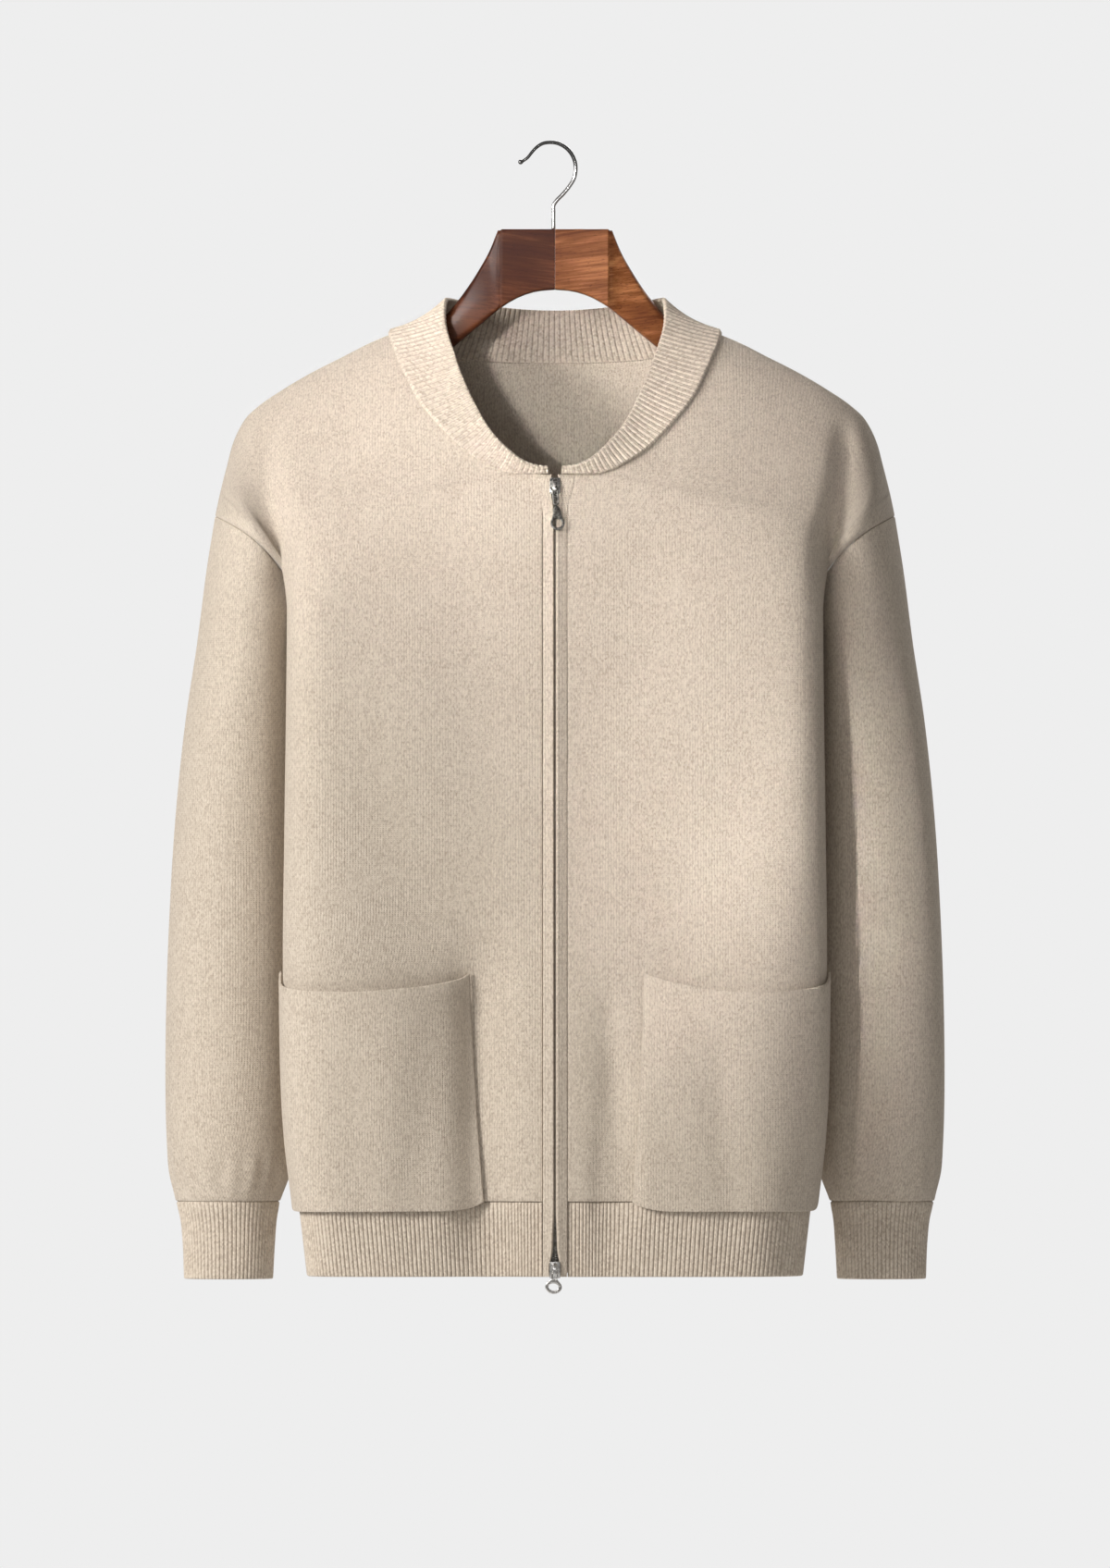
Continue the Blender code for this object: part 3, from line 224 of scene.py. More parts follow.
class Path:
    """A curve through points, read by its share of the length."""

    def __init__(self, points, fine=400):
        points = np.asarray(points, float)
        knots = self.lengths(points)
        at = np.linspace(0, knots[-1], fine)
        self.points = np.stack([smooth(at, knots, points[:, axis]) for axis in range(3)], axis=-1)
        self.along = self.lengths(self.points)
        self.length = self.along[-1]

    @staticmethod
    def lengths(points):
        steps = np.linalg.norm(np.diff(points, axis=0), axis=1)
        return np.concatenate([[0.0], np.cumsum(steps)])

    def share_of(self, point):
        """Share of the length at which the curve passes a point."""
        nearest = np.argmin(np.linalg.norm(self.points - point, axis=1))
        return self.along[nearest] / self.length

    def __call__(self, share):
        at = np.asarray(share, float) * self.length
        return np.stack([np.interp(at, self.along, self.points[:, axis]) for axis in range(3)],
                        axis=-1)


def ring(turn, height):
    """Outer wall of the body below the arm: turn 0 is the centre front, pi the centre back."""
    height = np.asarray(height, float)
    size = {name: smooth(height, TORSO["height"], TORSO[name]) for name in TORSO}
    power = 2 / SQUARENESS
    across = np.abs(np.sin(turn))**power
    forward = np.abs(np.cos(turn))**power
    depth = np.where(np.cos(turn) > 0, -size["front"], size["back"])
    round_x = size["half_width"] * across
    flat_x = size["half_width"] - size["press"]
    pressed = -SIDE_SOFTNESS * np.logaddexp(-round_x / SIDE_SOFTNESS, -flat_x / SIDE_SOFTNESS)
    x = round_x + (pressed - round_x) * step((turn - math.pi / 2) / FOLD_TURN)
    y = depth * forward + size["fold"] * np.sin(turn)**2
    return xyz(x, y, height)


def even_turns(start, end, samples=600):
    """Turns from start to end whose points lie evenly along the ring."""
    turns = start + (end - start) * np.linspace(0, 1, samples)**2
    along = Path.lengths(ring(turns, np.full(samples, BODY_MIDDLE)))
    return along / along[-1], turns


FRONT_TURNS = even_turns(0.0, SIDE_TURN)
BACK_TURNS = even_turns(math.pi, SIDE_TURN)


def turn_at(share, face):
    """Turn at a share of the way from the centre to the side seam; face 1 front, -1 back."""
    shares, turns = FRONT_TURNS if face > 0 else BACK_TURNS
    return np.interp(share, shares, turns)


def body_ring(share, height, face):
    """Point of the body at a share of the way from the centre seam to the side seam."""
    points = ring(turn_at(share, face), height)
    if face > 0:
        points[..., 0] += ZIP_BAND_EDGE * step(1 - np.asarray(share) * BAND_FADE)
    return points


def share_at(across, height):
    """Share of the way round at which the front lies this far from the middle."""
    shares = np.linspace(0, FACING_FRONT, 240)
    line = ring(turn_at(shares, 1), np.full(shares.shape, float(height)))
    return float(np.interp(across, line[:, 0], shares))


ARMHOLE_LOW = ring(np.array(SIDE_TURN), UNDERARM)
ARMHOLE_TOP = np.array([column[-1] for column in SHOULDER.values()])
SLEEVE["centre_x"][0] = (ARMHOLE_TOP[0] + ARMHOLE_LOW[0]) / 2
SLEEVE["half_x"][0] = (ARMHOLE_TOP[0] - ARMHOLE_LOW[0]) / 2
SLEEVE["height"][0] = ARMHOLE_TOP[2] - SLEEVE["half_x"][0] * SLEEVE["slope"][0]
SLEEVE["sag"][0] = (SLEEVE["height"][0] - SLEEVE["half_x"][0] * SLEEVE["slope"][0]
                    - ARMHOLE_LOW[2])
SLEEVE_ROWS = np.arange(len(SLEEVE["height"]), dtype=float)
ARM_SLOPE = SLEEVE["slope"][0]


def sleeve(turn, row):
    """Outer wall of the sleeve: turn 0 outside, pi/2 in front, pi underarm."""
    size = {name: smooth(row, SLEEVE_ROWS, SLEEVE[name]) for name in SLEEVE}
    inward = (1 - np.cos(turn)) / 2
    x = size["centre_x"] + size["half_x"] * np.cos(turn)
    y = size["centre_y"] - size["half_y"] * np.sin(turn)
    z = (size["height"] + size["half_x"] * size["slope"] * np.cos(turn)
         - size["sag"] * inward**3)
    return xyz(x, y, z)


def cuff(turn, height):
    """Outer wall of the cuff, with turns as the sleeve has them."""
    size = {name: smooth(height, CUFF["height"], CUFF[name]) for name in CUFF}
    x = size["centre_x"] + size["half_x"] * np.cos(turn)
    y = size["centre_y"] - size["half_y"] * np.sin(turn)
    return xyz(x, y, height)


NECK_SEAM, NECK_EDGE = np.split(np.stack(list(NECK.values()), axis=-1), 2, axis=1)
SHOULDER_LINE = Path(np.stack(list(SHOULDER.values()), axis=-1))
SHOULDER_REACH = {1: (118.0, 92.0), -1: (92.0, 84.0)}    # roundness over the ridge, neck and arm
CENTRE_BULGE = {1: 2.5, -1: 7.0}                         # fullness of the centre line, above
YOKE_RISE = 120.0                                        # how long the wall goes on upright
ARM_SHARE = 0.62                                         # where the armhole begins to shape it


def neck_side(face):
    """Path of a panel's inner boundary: up the centre, then along the neck seam."""
    seam = Path(NECK_SEAM, 1200)
    shoulder = seam.share_of(NECK_SEAM[NECK_AT_SHOULDER])
    if face > 0:
        corner = NECK_SEAM[0].copy()
        corner[0] = ZIP_BAND_EDGE
        first = seam.share_of(NECK_SEAM[1])
        over = np.vstack([corner[None], seam(np.linspace(first, shoulder, 40))])
    else:
        corner = NECK_SEAM[-1]
        over = seam(np.linspace(1, shoulder, 40))
    start = body_ring(np.array(0.0), UNDERARM, face)
    upright = mix(start, corner, np.linspace(0, 1, 5))
    upright[:, 1] -= face * CENTRE_BULGE[face] * np.sin(np.linspace(0, math.pi, 5))
    return Path(upright), Path(over)


NECK_SIDES = {face: neck_side(face) for face in (1, -1)}
NECK_CORNER = {face: up.length / (up.length + seam.length)
               for face, (up, seam) in NECK_SIDES.items()}


def inner_boundary(rise, face):
    """Point of a panel's inner boundary, from the underarm's height (0) to the shoulder (1)."""
    upright, seam = NECK_SIDES[face]
    corner = NECK_CORNER[face]
    low = upright(np.clip(rise / corner, 0, 1))
    high = seam(np.clip((rise - corner) / (1 - corner), 0, 1))
    return np.where((rise < corner)[..., None], low, high)


ARMHOLES = {face: Path(sleeve(face * np.linspace(math.pi, 0, 200), np.zeros(200)))
            for face in (1, -1)}


def yoke(share, rise, face):
    """Outer wall above the underarm, from the ring (rise 0) to the shoulder ridge (rise 1)."""
    near, far = SHOULDER_REACH[face]

    def column(at):
        """A wall line that leaves the ring upright and comes over the ridge level."""
        base = body_ring(at, np.full(np.shape(at), UNDERARM), face)
        below = body_ring(at, np.full(np.shape(at), UNDERARM - SLOPE_DROP), face)
        upward = (base - below) / SLOPE_DROP * YOKE_RISE
        over = xyz(0 * at, face * (near + (far - near) * at), 0 * at)
        r = rise[..., None]
        return ((2 * r**3 - 3 * r**2 + 1) * base + (r**3 - 2 * r**2 + r) * upward
                + (3 * r**2 - 2 * r**3) * SHOULDER_LINE(at) + (r**3 - r**2) * over)

    body = column(share)
    near_weight = step(1 - share)[..., None]
    far_weight = step((share - ARM_SHARE) / (1 - ARM_SHARE))[..., None]
    body = body + near_weight * (inner_boundary(rise, face) - column(0 * share))
    return body + far_weight * (ARMHOLES[face](rise) - column(0 * share + 1))


def hollows(points):
    """Press the soft hollows into points that face the front."""
    forward = step(-points[..., 1] / HOLLOW_DEPTH)
    push = np.zeros(points.shape[:-1])
    for x1, z1, x2, z2, width, depth in zip(*HOLLOWS.values()):
        line = np.array([x2 - x1, z2 - z1])
        size = np.dot(line, line)
        along = ((points[..., 0] - x1) * line[0] + (points[..., 2] - z1) * line[1]) / size
        near = np.clip(along, 0, 1)
        off_x = points[..., 0] - x1 - near * line[0]
        off_z = points[..., 2] - z1 - near * line[1]
        push += depth * np.exp(-off_x**2 / width**2 - off_z**2 / (HOLLOW_ENDS * width)**2)
    moved = points.copy()
    moved[..., 1] += forward * push
    return moved


def panel(share, level, face, side):
    """Front or back panel: level -1 at the hem seam, 0 at the underarm, 1 at the shoulder."""
    share, level = np.broadcast_arrays(np.asarray(share, float), np.asarray(level, float))
    height = UNDERARM + np.minimum(level, 0) * (UNDERARM - HEM_TOP)
    lower = body_ring(share, height, face)
    upper = yoke(share, np.clip(level, 0, 1.02), face)
    points = np.where((level < 0)[..., None], lower, upper)
    points[..., 0] *= side
    return hollows(points)


def sleeve_point(turn, row, side):
    """Point of either sleeve, with the front's hollows pressed in."""
    points = sleeve(turn, row)
    points[..., 0] *= side
    return hollows(points)


def cuff_point(turn, height, side):
    points = cuff(turn, height)
    points[..., 0] *= side
    return points


def hem_front_point(share, height, side):
    """Point of the front below the underarm, on either side."""
    points = body_ring(share, height, 1)
    points[..., 0] *= side
    return hollows(points)


def hem_back_point(share, height):
    """Back hem from the right side seam (-1) to the left one (1)."""
    points = ring(turn_at(np.abs(share), -1), height)
    points[..., 0] *= np.sign(share)
    return points


def band_between(first, second, share, across, roll):
    """Rounded band between two paths, rolled out from the neck's own middle line."""
    low, high = first(share), second(share)
    middle = (low + high) / 2
    around = first(share + SHORT_WAY) - first(share - SHORT_WAY)
    bow = middle + unit(np.cross(around, high - low)) * roll * 2
    a = across[..., None]
    return (1 - a)**2 * low + 2 * a * (1 - a) * bow + a**2 * high


def mirrored_path(half):
    """Path of a half curve that starts at the left end, with its mirror image before it."""
    mirrored = half.copy()
    mirrored[:, 0] *= -1
    return Path(np.vstack([mirrored, half[-2::-1]]), 1200)


def neck_seam_half():
    """The neck seam from the zip round to the centre back, where the panels' edges lie."""
    up = inner_boundary(np.linspace(NECK_CORNER[1], 1, 40), 1)
    over = inner_boundary(np.linspace(NECK_CORNER[-1], 1, 40), -1)[::-1]
    return np.vstack([NECK_SEAM[:1], up, over[1:]])


def front_line(height):
    """Depth of the centre front at a height."""
    height = np.asarray(height, float)
    upright = NECK_SIDES[1][0].points
    above = np.interp(height, upright[:, 2], upright[:, 1])
    below = ring(np.zeros(height.shape), np.minimum(height, UNDERARM))[..., 1]
    return np.where(height > UNDERARM, above, below)


def front_lean(height, reach):
    """Turn about X that follows the centre front, read over a reach above and below."""
    rise = float(front_line(height + reach) - front_line(height - reach))
    return -math.atan(rise / (2 * reach))


def pocket_point(across, up, side):
    """The front under a pocket, read in the pocket's own measures."""
    low, high = POCKET_INNER[side]
    inner_low = share_at(low, POCKET_BOTTOM)
    inner_high = share_at(high, POCKET_MOUTH)
    start = inner_low + (inner_high - inner_low) * up
    share = start + (POCKET_OUTER[side] - start) * across
    middle = 1 - (2 * across - 1)**2
    mouth = POCKET_MOUTH - POCKET_DROOP * np.clip(middle, 0, 1)**0.8
    bottom = POCKET_BOTTOM + POCKET_CORNER * np.abs(2 * across - 1)**8
    return hem_front_point(share, bottom + (mouth - bottom) * up, side)


# ---------------------------------------------------------------- shader maths


class Value:
    """A socket that can be used in arithmetic, which adds Math nodes to its material."""

    def __init__(self, finish, socket):
        self.finish = finish
        self.socket = socket

    def maths(self, operation, *others):
        numbers = dict(enumerate((self, *others)))
        return self.finish.node("ShaderNodeMath", {"operation": operation}, numbers)

    def does(operation):
        """A method that adds one kind of Math node."""
        return lambda self, *others: self.maths(operation, *others)

    __add__ = __radd__ = does("ADD")
    __sub__ = does("SUBTRACT")
    __mul__ = __rmul__ = does("MULTIPLY")
    __truediv__ = does("DIVIDE")
    __pow__ = does("POWER")
    fract = does("FRACT")
    floor = does("FLOOR")
    abs = does("ABSOLUTE")

    def __rsub__(self, other):
        return self.maths("MULTIPLY_ADD", -1.0, other)

    def over(self, low, high):
        """Smooth step from 0 at low to 1 at high."""
        settings = {"interpolation_type": "SMOOTHSTEP"}
        return self.finish.node("ShaderNodeMapRange", settings,
                                {"Value": self, "From Min": low, "From Max": high})


class Finish:
    """A material with one Principled shader and the nodes that feed it."""

    def __init__(self, name, **constants):
        self.material = bpy.data.materials.new(name)
        self.material.use_nodes = True
        self.tree = self.material.node_tree
        self.shader = self.tree.nodes["Principled BSDF"]
        for socket, value in constants.items():
            self.shader.inputs[socket.replace("_", " ")].default_value = value

    def node(self, kind, settings=None, sockets=None, output=0):
        """A node of a kind, its settings, then its sockets' values or links."""
        made = self.tree.nodes.new(kind)
        for setting, value in (settings or {}).items():
            if setting == "stops":
                self.set_stops(made.color_ramp, value)
            else:
                setattr(made, setting, value)
        for socket, value in (sockets or {}).items():
            if isinstance(value, Value):
                self.tree.links.new(value.socket, made.inputs[socket])
            else:
                made.inputs[socket].default_value = value
        return Value(self, made.outputs[output])

    @staticmethod
    def set_stops(ramp, stops):
        while len(ramp.elements) < len(stops):
            ramp.elements.new(0.5)
        for element, (place, colour) in zip(ramp.elements, stops):
            element.position = place
            element.color = (*colour, 1.0)

    def place(self):
        """Object coordinates, in metres."""
        return self.node("ShaderNodeTexCoord", output="Object")

    def parts(self, vector):
        """The three numbers of a vector."""
        split = self.node("ShaderNodeSeparateXYZ", sockets={0: vector}).socket.node
        return [Value(self, socket) for socket in split.outputs]

    def vector(self, x, y, z=0.0):
        return self.node("ShaderNodeCombineXYZ", sockets={0: x, 1: y, 2: z})

    def stretched(self, vector, x, y, z):
        """A vector scaled unlike along its three axes."""
        return self.node("ShaderNodeVectorMath", {"operation": "MULTIPLY"},
                         {0: vector, 1: (x, y, z)})

    def noise(self, vector, scale, detail=2.0, roughness=0.5):
        return self.node("ShaderNodeTexNoise", {"noise_dimensions": "3D"},
                         {"Vector": vector, "Scale": scale, "Detail": detail,
                          "Roughness": roughness})

    def speckle(self, vector):
        """A random number for each cell of a vector."""
        return self.node("ShaderNodeTexWhiteNoise", {"noise_dimensions": "2D"},
                         {"Vector": vector}, "Value")

    def blend(self, share, first, second):
        """Colour between two colours."""
        made = self.node("ShaderNodeMix", {"data_type": "RGBA"}).socket.node
        for socket, value in zip((made.inputs["Factor"], made.inputs[6], made.inputs[7]),
                                 (share, first, second)):
            if isinstance(value, Value):
                self.tree.links.new(value.socket, socket)
            else:
                socket.default_value = value if socket.type == "VALUE" else (*value, 1.0)
        return Value(self, made.outputs[2])

    def ramp(self, share, stops):
        return self.node("ShaderNodeValToRGB", {"stops": stops}, {0: share})

    def feed(self, **sockets):
        for socket, value in sockets.items():
            self.tree.links.new(value.socket, self.shader.inputs[socket.replace("_", " ")])

    def raise_by(self, height, distance, strength=1.0):
        """Bump of a height from 0 to 1 over a distance in metres."""
        bump = self.node("ShaderNodeBump", {},
                         {"Height": height, "Distance": distance, "Strength": strength})
        self.feed(Normal=bump)


# ---------------------------------------------------------------- materials

WOOL_LIGHT = (0.740, 0.660, 0.555)
WOOL_MIDDLE = (0.620, 0.540, 0.445)
WOOL_DARK = (0.430, 0.355, 0.285)
WALE = 2.05 * MM                # width of one column of stitches
COURSE = 1.5 * MM               # height of one row of stitches
RIB_PITCH = 3.06 * MM           # width of one rib and its hollow
KNIT_UV = "knit"


def knit(name, wale, course, depth, shade=1.0, grooves=0.5):
    """Heathered wool knit: V stitches from the piece's own map, fibres and mottling."""
    finish = Finish(name, Roughness=0.92, Sheen_Weight=0.35, Sheen_Roughness=0.45,
                    Sheen_Tint=(1.0, 0.93, 0.84, 1.0), Specular_IOR_Level=0.22)
    place = finish.place()
    drift = finish.noise(place, 160.0, 1.0)
    across, up, _ = finish.parts(finish.node("ShaderNodeUVMap", {"uv_map": KNIT_UV}))
    across = across / wale + (drift - 0.5) * 0.22
    side = (across.fract() - 0.5).abs()
    row = up / course + side * 1.5 + (drift - 0.5) * 0.5
    leg = 1 - (side * 4 - 1) ** 2
    bulge = 1 - (row.fract() * 2 - 1) ** 2 * 0.75
    stitch = leg * bulge
    yarn = finish.speckle(finish.vector((across * 2).floor(), row.floor()))
    fibre = finish.noise(place, 1500.0, 2.0, 0.6)
    mottle = finish.noise(place, 520.0, 3.0, 0.62)
    cloud = finish.noise(place, 24.0, 2.0, 0.5)
    tone = (0.5 + (yarn - 0.5) * 0.50 + (mottle - 0.5) * 1.0 + (fibre - 0.5) * 0.5
            + (cloud - 0.5) * 0.15)
    light, middle, dark = ([channel * shade for channel in colour]
                           for colour in (WOOL_LIGHT, WOOL_MIDDLE, WOOL_DARK))
    colour = finish.ramp(tone, [(0.08, dark), (0.5, middle), (0.92, light)])
    groove = side.over(0.32, 0.5)
    gaps = (1 - stitch.over(0.0, 0.42)) * (1 - grooves) + groove * grooves
    shadow = [channel * 0.62 for channel in dark]
    finish.feed(Base_Color=finish.blend(gaps * 0.55, colour, shadow))
    finish.raise_by(stitch * 0.6 + fibre * 0.25 + (1 - groove) * 0.15, depth)
    return finish.material


def tape_weave(name, colour):
    """Narrow woven tape: short diagonal threads, with painted shade between them."""
    finish = Finish(name, Roughness=0.85, Sheen_Weight=0.2, Specular_IOR_Level=0.3)
    across, _, up = finish.parts(finish.place())
    thread = ((across + up * 0.5) / (0.8 * MM)).fract()
    pick = (up / (0.55 * MM)).fract()
    weave = (1 - (thread * 2 - 1) ** 2) * (1 - (pick * 2 - 1) ** 2)
    # painted shade: the tape's colour darkens to 0.4 of itself between the threads
    thread_gap_shade = [channel * 0.4 for channel in colour]
    finish.feed(Base_Color=finish.blend(weave, thread_gap_shade, colour))
    finish.raise_by(weave, 0.15 * MM)
    return finish.material


def worn_metal(name, colour, dull, roughness):
    """Cast zip metal with a fine worked surface that is duller in patches."""
    finish = Finish(name, Metallic=1.0, Specular_IOR_Level=0.5)
    place = finish.place()
    patch = finish.noise(place, 700.0, 3.0, 0.6)
    grain = finish.noise(place, 4200.0, 2.0, 0.5)
    finish.feed(Base_Color=finish.blend(patch.over(0.35, 0.7), dull, colour),
                Roughness=roughness + (patch - 0.5) * 0.3)
    finish.raise_by(grain, 0.04 * MM)
    return finish.material


def varnished_wood(name, light, middle, dark, turn):
    """Glossy stained beech: long grain along the arm, short dark flecks, and a clear coat."""
    finish = Finish(name, Roughness=0.48, Coat_Weight=0.10, Coat_Roughness=0.2, Coat_IOR=1.45,
                    Specular_IOR_Level=0.12)
    place = finish.place()
    turned = finish.node("ShaderNodeMapping", {}, {"Vector": place, "Rotation": (0, turn, 0)})
    wave = finish.noise(finish.stretched(turned, 9.0, 40.0, 60.0), 1.0, 3.0, 0.55)
    line = finish.noise(finish.stretched(turned, 30.0, 300.0, 620.0), 1.0, 3.0, 0.6)
    fleck = finish.noise(finish.stretched(turned, 260.0, 1500.0, 1900.0), 1.0, 1.0, 0.4)
    tone = 0.5 + (wave - 0.5) * 1.5 + (line - 0.5) * 0.9
    colour = finish.ramp(tone, [(0.12, dark), (0.5, middle), (0.88, light)])
    flecks = fleck.over(0.60, 0.72) * 0.55
    finish.feed(Base_Color=finish.blend(flecks, colour, [channel * 0.45 for channel in dark]))
    finish.raise_by(line * 0.6 + (1 - fleck) * 0.4, 0.05 * MM)
    return finish.material


def bright_steel(name):
    """Polished wire with faint drawing marks along it, and painted shade that darkens its top
    curve.
    """
    finish = Finish(name, Metallic=1.0)
    place = finish.place()
    mark = finish.noise(finish.stretched(place, 3000.0, 3000.0, 300.0), 1.0, 2.0, 0.5)
    upward = finish.parts(place)[2]
    # painted shade: over the top of the hook the wire's colour falls from the stem's to a much
    # darker one
    stem, painted_top_shade = (0.62, 0.62, 0.62), (0.10, 0.10, 0.10)
    finish.feed(Roughness=0.12 + mark * 0.12,
                Base_Color=finish.blend(upward.over(-0.03, -0.006), stem, painted_top_shade))
    return finish.material


def pale_floor(name):
    """Matt pale floor with faint mottling."""
    finish = Finish(name, Roughness=0.9, Specular_IOR_Level=0.2)
    speck = finish.noise(finish.place(), 40.0, 2.0)
    finish.feed(Base_Color=finish.blend(speck, (0.80, 0.80, 0.80), (0.84, 0.84, 0.84)))
    return finish.material


# ---------------------------------------------------------------- cloth walls

EDGE_RADIUS = 1.0               # roundness of a cloth edge
EDGE_STEPS = (0.0, 0.16, 0.5, 1.1)   # distances of the close points from an edge
ZIP_SEAM_RADIUS = 0.45          # roundness of a panel's edge along the zip's band
NECK_SEAM_RADIUS = 0.3          # and along the neck seam
MESH_STEP = 4.0                 # usual distance between a shell's points


def even_steps(length, spacing=MESH_STEP, start=True, end=True):
    """Shares along a length, with close steps at the ends, where the cloth's edge rounds over."""
    near = np.array(EDGE_STEPS)
    low = near[-1] if start else 0.0
    high = length - (near[-1] if end else 0.0)
    middle = np.linspace(low, high, max(2, round((high - low) / spacing) + 1))
    first = near[:-1] if start else []
    last = length - near[:-1][::-1] if end else []
    return np.concatenate([first, middle, last]) / length


def edge_round(distance, radius):
    """How far a cloth's face turns in at a distance from an edge of a roundness."""
    radius = np.broadcast_to(radius, distance.shape)
    short = np.clip(radius - distance, 0, radius)
    return radius - np.sqrt(radius**2 - short**2)


def normals_of(surface, u, v, flip, small, rims):
    """Outward normals of a surface. At each rim they lie square to the way across its seam."""
    along_u = surface(u + small[0], v) - surface(u - small[0], v)
    along_v = surface(u, v + small[1]) - surface(u, v - small[1])
    normal = np.cross(along_u, along_v) * flip
    for where, across in rims:
        way = unit(np.array(across, float))
        normal[where] -= (normal[where] @ way)[..., None] * way
    return unit(normal)


def run_lengths(points, axis):
    """Distance along a grid's rows or columns from their first point."""
    steps = np.linalg.norm(np.diff(points, axis=axis), axis=-1)
    zero = np.zeros_like(np.take(steps, [0], axis=axis))
    return np.concatenate([zero, np.cumsum(steps, axis=axis)], axis=axis)


def stitch_map(points, start):
    """Map of a panel in millimetres: wales run square to the rows, courses along them.

    start is each row's distance from the middle at its first point.
    """
    across = run_lengths(points, 1) + start[:, None]
    along = unit(np.gradient(points, axis=1))
    rise = np.diff(points, axis=0)
    slide = np.sum(rise * along[:-1], axis=-1, keepdims=True) * along[:-1]
    square = np.linalg.norm(rise - slide, axis=-1)
    up = np.vstack([np.zeros((1, points.shape[1])), np.cumsum(square, axis=0)])
    return np.stack([across, up], axis=-1)


def mesh_from(bm, name):
    """Mesh of a finished bmesh."""
    mesh = bpy.data.meshes.new(name)
    bm.to_mesh(mesh)
    bm.free()
    return mesh


def flat_wall(columns, rows, closed, opened=None):
    """A flat slab of squares, one wide and one high, whose two faces become a cloth's."""
    bm = bmesh.new()
    bmesh.ops.create_grid(bm, x_segments=columns, y_segments=rows, size=0.5)
    bmesh.ops.solidify(bm, geom=bm.faces[:], thickness=1.0)
    bmesh.ops.recalc_face_normals(bm, faces=bm.faces)
    gone = []
    for face in bm.faces:
        side = abs(face.normal.x) > 0.5
        if side and (closed or (opened and opened(face.calc_center_median()))):
            gone.append(face)
    bmesh.ops.delete(bm, geom=gone, context="FACES_ONLY")
    return mesh_from(bm, "slab")


def wrap(mesh, outer, inner, uv, flip):
    """Move a slab's points onto a cloth's two faces and give it the cloth's map."""
    rows, columns = outer.shape[:2]
    flat = np.zeros(len(mesh.vertices) * 3)
    mesh.vertices.foreach_get("co", flat)
    flat = flat.reshape(-1, 3)
    column = np.rint((flat[:, 0] + 0.5) * (columns - 1)).astype(int)
    row = np.rint((flat[:, 1] + 0.5) * (rows - 1)).astype(int)
    middle = (flat[:, 2].max() + flat[:, 2].min()) / 2
    front = (flat[:, 2] > middle)[:, None]
    placed = np.where(front, outer[row, column], inner[row, column]) * MM
    mesh.vertices.foreach_set("co", placed.ravel())
    corners = np.zeros(len(mesh.loops), int)
    mesh.loops.foreach_get("vertex_index", corners)
    layer = mesh.uv_layers.new(name=KNIT_UV)
    layer.uv.foreach_set("vector", (uv[row, column] * MM)[corners].ravel())
    if flip < 0:
        mesh.flip_normals()


def merged(name, meshes, distance=0.002 * MM):
    """One mesh of several, joined where their points meet."""
    bm = bmesh.new()
    for mesh in meshes:
        bm.from_mesh(mesh)
        bpy.data.meshes.remove(mesh)
    bmesh.ops.remove_doubles(bm, verts=bm.verts, dist=distance)
    made = mesh_from(bm, name)
    made.shade_smooth()
    return made


def placed(data):
    """A new object of a mesh, light or camera, under its own name."""
    made = bpy.data.objects.new(data.name, data)
    bpy.context.scene.collection.objects.link(made)
    return made


def piece(mesh, material, replaces=None, body=GARMENT):
    """A finished mesh as a piece that rides on a body."""
    made = placed(mesh)
    mesh.materials.clear()
    mesh.materials.append(material)
    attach(made, body)
    if replaces:
        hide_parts(replaces)


class Sheet:
    """Two faces of one cloth, worked out on a grid of shares."""

    def __init__(self, surface, us, vs, flip, wall, small=(1e-3, 1e-3), rims=(), raised=0.0,
                 behind=0.0, round_u=(EDGE_RADIUS, EDGE_RADIUS),
                 round_v=(EDGE_RADIUS, EDGE_RADIUS)):
        self.u, self.v = np.meshgrid(us, vs)
        self.flip = flip if vs[-1] > vs[0] else -flip
        self.points = surface(self.u, self.v)
        normal = normals_of(surface, self.u, self.v, flip, small, rims)
        turned_in = self.turned_in(round_u, round_v)
        self.outer = self.points + normal * (raised - turned_in)[..., None]
        self.inner = self.points + normal * (behind - wall + turned_in)[..., None]

    def turned_in(self, round_u, round_v):
        """How far each point turns in, by the roundness of the four edges."""
        across = run_lengths(self.points, 1)
        up = run_lengths(self.points, 0)
        from_edges = ((across, round_u[0]), (across[:, -1:] - across, round_u[1]),
                      (up, round_v[0]), (up[-1:] - up, round_v[1]))
        return np.max([edge_round(distance, radius) for distance, radius in from_edges], axis=0)

    def mesh(self, uv, closed=False, opened=None):
        rows, columns = self.u.shape
        slab = flat_wall(columns - 1, rows - 1, closed, opened)
        wrap(slab, self.outer, self.inner, uv, self.flip)
        return slab


# ---------------------------------------------------------------- panels and sleeves

FIRST_ROW = np.s_[0]
LAST_ROW = np.s_[-1]
LEVEL_RIMS = ((FIRST_ROW, (0, 0, 1)), (LAST_ROW, (0, 0, 1)))
BODY_HEIGHT = UNDERARM - HEM_TOP
YOKE_ROWS = 72                  # rows of points from the underarm to the shoulder


def panel_levels():
    """Rows of a panel: evenly up to the underarm, then closer to the shoulder."""
    below = even_steps(BODY_HEIGHT, end=False) - 1
    above = even_steps(YOKE_HEIGHT, YOKE_HEIGHT / YOKE_ROWS, start=False)
    levels = np.concatenate([below[:-1], above])
    levels[0] += SEAM_GAP / 2 / BODY_HEIGHT
    levels[-1] -= SEAM_GAP / 2 / YOKE_HEIGHT
    return np.maximum.accumulate(levels)


def panel_shares(start_rim):
    """Columns of a panel, with close ones along the middle if it has an edge there."""
    shares = even_steps(FRONT_ROUND, start=start_rim)
    edge = SEAM_GAP / 2 / FRONT_ROUND
    return np.clip(shares, edge if start_rim else 0.0, 1 - edge)


